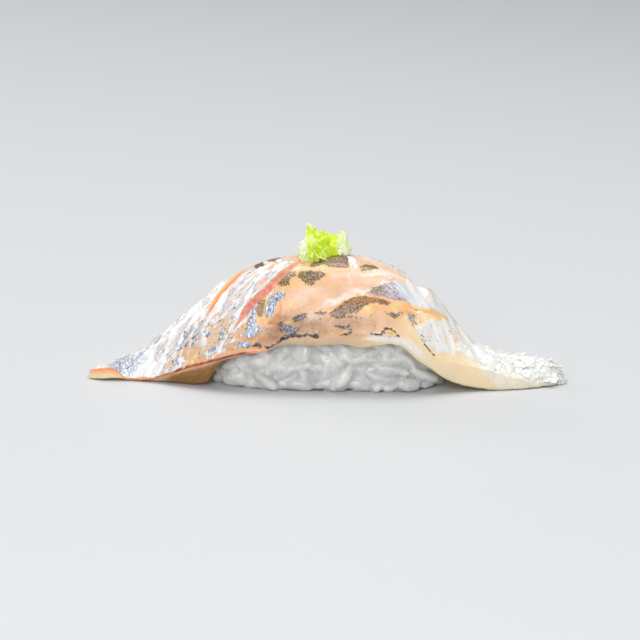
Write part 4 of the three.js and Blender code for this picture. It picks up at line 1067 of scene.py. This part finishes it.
# Grains that stand out on the front: along, height, length, width, tilt, how far out.
FRONT_GRAINS = [(-20.6, 1.5, 4.6, 2.6, 35, -0.5), (-17.7, 1.8, 4.4, 2.7, 20, -0.5),
                (-14.6, 1.1, 4.6, 2.4, -10, -0.7), (-11.6, 1.9, 5.4, 2.8, -32, -0.1),
                (-8.4, 1.2, 4.4, 2.4, 10, -0.7), (-5.2, 1.2, 5.4, 2.8, -6, -0.3),
                (-1.2, 1.3, 4.6, 2.5, 14, -0.6), (3.4, 3.3, 6, 2.9, 60, 0.1),
                (1.6, 1.6, 3.8, 2.4, 62, -0.1), (6.4, 1.4, 5, 2.6, -14, -0.7),
                (9.0, 3.3, 4, 2.3, -20, -0.1), (12.2, 4.4, 7.2, 2.3, -7, -0.1),
                (9.8, 1, 2.7, 2.1, 40, -0.1), (12, 0.8, 2.5, 2, 10, -0.1),
                (15.2, 1.4, 5.4, 2.9, -8, 0.15), (18.5, 2.9, 7, 2.3, -25, -0.05),
                (-13.6, 5.5, 4.8, 2.5, -5, -0.5), (-8.8, 6.8, 3.6, 2.4, 60, -0.6),
                (-4.4, 6.6, 4.4, 2.3, 70, -0.6), (-17.4, 4.6, 4.6, 2.5, 15, -0.7),
                (0.4, 5.4, 4.6, 2.4, -30, -0.7), (6, 6.4, 5, 2.5, 20, -0.75),
                (-9.6, 4.4, 5, 2.5, -12, -0.7), (15, 6.6, 5.6, 2.4, -24, -0.8)]


def loaf_point(turn, spread, tuck=0.0):
    """Place on the loaf's rounded outline, spread out from it or tucked in."""

    def squared(v):
        return np.sign(v) * np.abs(v) ** (2 / LOAF_SQUARENESS)

    return ((LOAF_HALF[0] - tuck + spread) * squared(np.cos(turn)),
            (LOAF_HALF[1] - tuck + spread) * squared(np.sin(turn)))


def roof_over(x, y):
    """Height of the slice's flesh side over a place on the board."""
    x, y = np.asarray(x, float), np.asarray(y, float)
    across = np.linspace(-1, 1, 61)
    section = section_point(x[..., None], across, 1.0)
    nearest = np.abs(section[..., 1] - y[..., None]).argmin(-1)
    return np.take_along_axis(section[..., 2], nearest[..., None], -1)[..., 0]


def grain_points():
    """One cooked grain along X: plump, blunt and a little flat."""
    rings, sides = 11, 12
    points = [(-0.5, 0, 0)]
    for i in range(1, rings):
        s = -math.cos(math.pi * i / rings)
        width = 0.5 * (1 - abs(s) ** 2.4) ** 0.5
        for k in range(sides):
            t = 2 * math.pi * k / sides
            points.append((0.5 * s, width * math.cos(t), width * 0.9 * math.sin(t)))
    points.append((0.5, 0, 0))
    faces = [(0, 1 + (k + 1) % sides, 1 + k) for k in range(sides)]
    for i in range(rings - 2):
        for k in range(sides):
            p, q = 1 + i * sides + k, 1 + i * sides + (k + 1) % sides
            faces.append((p, q, q + sides, p + sides))
    last = len(points) - 1
    faces += [(last, last - sides + k, last - sides + (k + 1) % sides) for k in range(sides)]
    return np.array(points), faces


def tube(rings):
    """Points and faces of a closed tube through rings of points."""
    sides, last = len(rings[0]), (len(rings) - 1) * len(rings[0])
    faces = [[i + k, i + (k + 1) % sides, i + sides + (k + 1) % sides, i + sides + k]
             for i in range(0, last, sides) for k in range(sides)]
    return np.vstack(rings), faces + [list(range(last, last + sides)),
                                      list(range(sides))[::-1]]


def run_together(piece, grid):
    """Joins a heap's touching bodies into one moist skin and gives its points."""
    remesh = piece.modifiers.new("moist", "REMESH")
    remesh.mode = "VOXEL"
    remesh.voxel_size = grid * MM
    remesh.use_smooth_shade = True
    soften = piece.modifiers.new("soften", "SMOOTH")
    soften.factor, soften.iterations = 0.5, 3
    joined = bpy.data.meshes.new_from_object(
        piece.evaluated_get(bpy.context.evaluated_depsgraph_get()))
    piece.modifiers.clear()
    piece.data = joined
    at = np.empty(len(joined.vertices) * 3)
    joined.vertices.foreach_get("co", at)
    return at.reshape(-1, 3) / MM


def move_points(piece, points):
    """Puts the mesh's points at these places, in millimetres, and shades it smooth."""
    piece.data.vertices.foreach_set("co", (points * MM).ravel())
    piece.data.polygons.foreach_set("use_smooth", [True] * len(piece.data.polygons))
    piece.data.update()


def turned(points, yaw, pitch, roll):
    cy, sy, cp, sp, cr, sr = (f(t) for t in (yaw, pitch, roll) for f in (math.cos, math.sin))
    about_x = np.array([[1, 0, 0], [0, cr, -sr], [0, sr, cr]])
    about_y = np.array([[cp, 0, sp], [0, 1, 0], [-sp, 0, cp]])
    about_z = np.array([[cy, -sy, 0], [sy, cy, 0], [0, 0, 1]])
    return points @ (about_z @ about_y @ about_x).T


def rice_loaf():
    draw = np.random.RandomState(GRAIN_SEED)
    grain, grain_faces = grain_points()
    heap = Heap()

    # The core: grains pressed into one mass, rounded in at the board, and closed on top by
    # rings that shrink to the middle line under the slice's own arch.
    turns = np.linspace(0, 2 * np.pi, CORE_SIDES, endpoint=False)
    x, y = loaf_point(turns, -CORE_IN)
    top = np.minimum(roof_over(x, y * 0.98), 20) - 0.2
    rings = []
    for level in np.linspace(0, 1, CORE_LEVELS):
        z = CORE_FOOT + level * (top - CORE_FOOT)
        foot = loaf_point(turns, -CORE_IN - 0.9 * np.maximum(0, 1 - z / 1.8) ** 2)
        rings.append(np.stack([*foot, z], -1))
    for share in (0.75, 0.5, 0.25, 0.05):
        inner = x * (0.4 + 0.6 * share), y * share
        rings.append(np.stack([*inner, roof_over(*inner) - 0.2], -1))
    heap.add(*tube(rings))

    outline_turn = np.linspace(0, 2 * np.pi, OUTLINE_STEPS + 1)
    ox, oy = loaf_point(outline_turn, 0)
    outline_run = np.concatenate([[0], np.cumsum(np.hypot(np.diff(ox), np.diff(oy)))])

    def place_grain(turn, height, length, width, tilt, stand):
        """Lays a grain flat against the side of the loaf, tilted in that plane."""
        x, y = loaf_point(turn, stand, 0.5 * max(0, 1 - height / 2.2))
        if height > float(roof_over(x, y)) - 0.3:
            return
        outward = math.atan2(y / LOAF_HALF[1] ** 2, x / LOAF_HALF[0] ** 2)
        shape = grain * np.array([length, width, width])
        shape[:, 2] += draw.uniform(-0.3, 0.3) * (shape[:, 0] / 3) ** 2
        shape = turned(shape, draw.uniform(-0.2, 0.2), 0, 0)
        shape = turned(shape, 0, -math.radians(tilt), 0)
        shape = turned(shape, outward + math.pi / 2, 0, 0)
        heap.add(shape + np.array([x, y, height]), grain_faces)

    front_half = slice(OUTLINE_STEPS // 2, None)
    for x, *rest in FRONT_GRAINS:
        place_grain(np.interp(x, ox[front_half], outline_turn[front_half]), *rest)
    places = int(outline_run[-1] / GRAIN_STEP)
    for row in range(GRAIN_ROWS):
        for i in range(places):
            jitter = draw.uniform(-0.5, 0.5, 6)
            step = (i + 0.5 * (row % 2) + 0.7 * jitter[0]) / places * outline_run[-1]
            turn = float(np.interp(step % outline_run[-1], outline_run, outline_turn))
            # On the front they lie deeper, behind the grains that stand out there.
            shift = -0.22 if loaf_point(turn, 0)[1] < -5 else 0.2
            stand = -0.72 + 0.75 * jitter[2] + shift
            place_grain(turn, 1.2 + row * ROW_RISE + 0.9 * jitter[1],
                        GRAIN_LENGTH * (0.95 + 0.3 * jitter[3]),
                        GRAIN_WIDTH * (0.95 + 0.3 * jitter[4]), 150 * jitter[5], stand)
    piece = mesh_piece("rice_loaf", np.vstack(heap.points), heap.faces)
    at = run_together(piece, STICKY)
    for size, height, seed in RICE_RELIEF:
        at = at + height * np.stack([
            lumpy(at[:, 0] + at[:, 2], at[:, 1] + at[:, 2] * 0.7, size, seed + i)
            for i in range(3)], -1)
    # Nothing passes up into the slice, and the loaf stands flat on the board.
    roof = roof_over(at[:, 0], at[:, 1]) - 0.12
    edge = np.where(at[:, 1] < 0, -front_side(at[:, 0]), back_side(at[:, 0]))
    inner = np.abs(at[:, 1]) < edge - 0.6
    at[:, 2] = np.where(inner, np.minimum(at[:, 2], roof), at[:, 2])
    at[:, 2] = np.maximum(at[:, 2], 0.0)
    move_points(piece, at)
    return piece


def rice_finish():
    f = Finish("cooked_rice")
    place = f.node("TexCoord", "Object")
    cloud = f.noise(place, 260, 3)
    grit = f.noise(place, 1500, 3, 0.6)
    starch = f.noise(place, 700, 3, 0.6)
    colour = f.tones(cloud, 0.35, 0.65, (200, 201, 199), (222, 223, 221))
    colour = f.mix(f.ramp(starch, 0.5, 0.7, 0, 0.5), colour, (236, 236, 234))
    return f.surface(
        base_color=colour, roughness=f.ramp(grit, 0.3, 0.7, 0.2, 0.42),
        subsurface_weight=1.0, subsurface_radius=(1.0, 0.95, 0.9), subsurface_scale=2.2 * MM,
        coat_weight=0.55, coat_roughness=0.14, normal=f.bump(f.plus(grit, starch), 0.5, 0.14))


rice_piece = rice_loaf()
rice_piece.data.materials.clear()
rice_piece.data.materials.append(rice_finish())
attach(rice_piece, "root")
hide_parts("rice_bed")

# ---- The pinch of greens --------------------------------------------------------------
# Green onion chopped fine and pinched together, moist and bright, with pale see-through
# ends. It sits on the crown and sticks by its own moisture.

# Top of the pinch, its half depth from front to back, and where its middle lies: (along,
# size). A thin fin stands up at the left.
GREENS_TOP = [(-5.8, 26), (-5.4, 27), (-4.95, 27.4), (-4.7, 29.5), (-4.3, 30.0), (-3.3, 30.3),
              (-3.0, 29.8), (-2.2, 29.4), (-1.0, 29.0), (0.4, 28.5), (2.6, 28.3), (3.1, 27.9),
              (3.5, 26.8), (3.7, 25.4)]
GREENS_DEPTH = [(-5.8, 1), (-4.6, 2.1), (-2, 2.6), (1.5, 2.1), (3.1, 1.8), (3.7, 0.9)]
GREENS_SIDE = [(-5.8, -1.8), (-4, -1.4), (-2, -0.6), (0.5, 0.5), (2, 1), (3.7, 1.2)]
SHREDS = 200
SHRED_GRID = 0.12  # grid at which touching shreds run together
HEART_RINGS, HEART_SIDES = 23, 24
FIN_END, LOBE_START = -2.8, 2  # where the fin at the left ends and the lobe begins
GREENS_SEED = 5
greens_top, greens_depth = curve_through(GREENS_TOP), curve_through(GREENS_DEPTH)
greens_side = curve_through(GREENS_SIDE)


def pinch_of_greens():
    draw = np.random.RandomState(GREENS_SEED)
    heap = Heap()
    rows, cols = 7, 4
    s, t = np.meshgrid(np.linspace(-0.5, 0.5, rows), np.linspace(-0.5, 0.5, cols),
                       indexing="ij")

    def shred(centre, size, yaw, pitch, roll, curl):
        """A ragged strip, pointed at both ends: its size is length, width and thickness."""
        ragged = 1 + 0.2 * draw.uniform(-1, 1, s.shape)
        x = s * size[0]
        y = t * size[1] * (1 - 0.8 * s * s) * ragged
        z = curl * size[0] * (s * s - 0.1) + 0.06 * size[1] * draw.uniform(-1, 1, s.shape)
        both = [np.stack([x, y, z + side * size[2] / 2], -1).reshape(-1, 3) for side in (1, -1)]
        heap.add(turned(np.vstack(both), yaw, pitch, roll) + centre, scrap_faces(rows, cols))

    # A close-packed heart, then shreds over it.
    rings = []
    turn = np.linspace(0, 2 * np.pi, HEART_SIDES, endpoint=False)
    for x in np.linspace(-5.4, 3.4, HEART_RINGS):
        foot = float(crown_height(x)) - 0.6
        height = float(greens_top(x)) - 0.45 - foot
        y = float(greens_side(x)) + 0.82 * float(greens_depth(x)) * np.cos(turn)
        rings.append(np.stack([np.full(HEART_SIDES, x), y,
                               foot + height * np.maximum(np.sin(turn), -0.4)], -1))
    heap.add(*tube(rings))
    for _ in range(SHREDS):
        x, rise, side = draw.uniform(-5.6, 3.6), draw.uniform(0, 1), draw.uniform(-1, 1)
        foot = float(crown_height(x)) - 0.4
        z = foot + rise * (float(greens_top(x)) - 0.3 - foot)
        # The heap narrows upwards, and spills a little down the front at the left.
        depth = float(greens_depth(x)) * (1 - 0.72 * rise ** 1.5)
        y = float(greens_side(x)) + side * depth - (0.8 * (1 - rise) if x < -1 else 0)
        z -= 0.035 * (y - float(greens_side(x))) ** 2
        # Shreds stand on end in the fin and in the lobe, and lean over in between.
        if FIN_END < x < LOBE_START:
            pitch = 0.75 + draw.uniform(-0.45, 0.45)
            z -= 0.25 * rise
        else:
            pitch = math.pi / 2 + draw.uniform(-0.25, 0.25)
        shred(np.array([x, y, z]),
              (draw.uniform(1.0, 1.9), draw.uniform(0.7, 1.4), draw.uniform(0.3, 0.55)),
              draw.uniform(-0.5, 0.5), pitch, draw.uniform(-0.6, 0.6), draw.uniform(-0.15, 0.15))
    piece = mesh_piece("green_pinch", np.vstack(heap.points), heap.faces)
    at = run_together(piece, SHRED_GRID)
    crumple = np.stack([
        lumpy(at[:, 0] + 0.6 * at[:, 2], at[:, 1] + at[:, 2] * 0.8, 0.55, 80 + i)
        for i in range(3)], -1)
    at[:, :2] = at[:, :2] + 0.2 * crumple[:, :2]
    at[:, 2] = at[:, 2] + 0.12 * crumple[:, 2]
    move_points(piece, at)
    # White ends of the shreds: the fin's outer wall and top, the foot, and the right lobe.
    white = np.maximum.reduce([
        ease(-at[:, 0], 4.1, 4.9), ease(at[:, 2], 29.4, 30.2) * 0.8,
        ease(at[:, 0], 0.4, 2.4) * 0.9, ease(-at[:, 0], 3.2, 4.8) * ease(-at[:, 2], -27.2, -26)])
    write_mask(piece, "white_end", white)
    return piece


def greens_finish():
    f = Finish("chopped_greens")
    place = f.node("TexCoord", "Object")
    tone = f.noise(place, 330, 4, 0.6)
    patch = f.noise(place, 420, 3, 0.6)
    grit = f.noise(place, 2200, 3, 0.6)
    colour = f.tones(tone, 0.36, 0.62, (200, 228, 16), (222, 242, 72))
    colour = f.mix(f.ramp(patch, 0.52, 0.64, 0, 0.85), colour, (236, 250, 156))
    share = f.plus(f.mask("white_end"), f.less(tone, 0.5))
    colour = f.mix(f.ramp(share, 0.3, 0.75), colour,
                   f.tones(patch, 0.42, 0.6, (230, 246, 178), (244, 252, 236)))
    return f.surface(
        base_color=colour, roughness=f.ramp(grit, 0.3, 0.7, 0.25, 0.5),
        subsurface_weight=0.6, subsurface_radius=(0.8, 1.0, 0.3), subsurface_scale=0.8 * MM,
        coat_weight=0.3, coat_roughness=0.2, normal=f.bump(grit, 0.35, 0.08))


greens_piece = pinch_of_greens()
greens_piece.data.materials.clear()
greens_piece.data.materials.append(greens_finish())
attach(greens_piece, "root")
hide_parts("garnish")

# ---- Floor, light and camera ----------------------------------------------------------
# A plain pale floor, flat under the part. Three soft lamps light it from above, from behind
# on the left and from the front, and the camera looks from a little above.

FLOOR_REACH = 3.0


def studio_floor():
    mesh = bpy.data.meshes.new("floor")
    mesh.from_pydata([(x * FLOOR_REACH, y * FLOOR_REACH, 0) for x, y in (
        (-1, -1), (1, -1), (1, 1), (-1, 1))], [], [(0, 1, 2, 3)])
    mesh.materials.append(Finish("pale_floor").surface(
        base_color=(209, 211, 213), roughness=0.55))
    floor = bpy.data.objects.new("floor", mesh)
    bpy.context.scene.collection.objects.link(floor)
    return floor


studio_floor()


def soft_light(name, place, size, watts):
    """A broad lamp that faces the part, metres and watts."""
    lamp = bpy.data.lights.new(name, "AREA")
    lamp.shape = "RECTANGLE"
    lamp.size, lamp.size_y = size
    lamp.energy = watts
    thing = bpy.data.objects.new(name, lamp)
    bpy.context.scene.collection.objects.link(thing)
    thing.location = place
    thing.rotation_mode = "QUATERNION"
    thing.rotation_quaternion = (-Vector(place)).to_track_quat("-Z", "Y")


soft_light("overhead", (0.05, 0.05, 0.7), (0.5, 0.45), 3.5)
soft_light("back_left", (-0.55, 0.5, 0.4), (0.45, 0.3), 1.5)
soft_light("front_fill", (-0.1, -0.65, 0.35), (0.5, 0.35), 2.6)

ROOM_LIGHT = 0.35
world = bpy.data.worlds.new("studio")
world.use_nodes = True
background = world.node_tree.nodes["Background"]
background.inputs["Color"].default_value = (1, 1, 1, 1)
background.inputs["Strength"].default_value = ROOM_LIGHT
bpy.context.scene.world = world
bpy.context.scene.view_settings.view_transform = "Standard"

CAMERA_ELEVATION = math.radians(14)
CAMERA_ROLL = math.radians(1.2)
CAMERA_DISTANCE = 620
CAMERA_AIM = (-1.61, 0, 11.7)
FRAME_WIDTH = 121.3
camera_data = bpy.data.cameras.new("camera")
camera_data.angle = 2 * math.atan(FRAME_WIDTH / 2 / CAMERA_DISTANCE)
camera_data.clip_start, camera_data.clip_end = 0.01, 20
camera = bpy.data.objects.new("camera", camera_data)
bpy.context.scene.collection.objects.link(camera)
camera.location = (CAMERA_AIM[0] * MM,
                   (CAMERA_AIM[1] - CAMERA_DISTANCE * math.cos(CAMERA_ELEVATION)) * MM,
                   (CAMERA_AIM[2] + CAMERA_DISTANCE * math.sin(CAMERA_ELEVATION)) * MM)
camera.rotation_mode = "QUATERNION"
camera.rotation_quaternion = (
    Matrix.Rotation(math.pi / 2 - CAMERA_ELEVATION, 3, "X")
    @ Matrix.Rotation(CAMERA_ROLL, 3, "Z")).to_quaternion()
bpy.context.scene.camera = camera
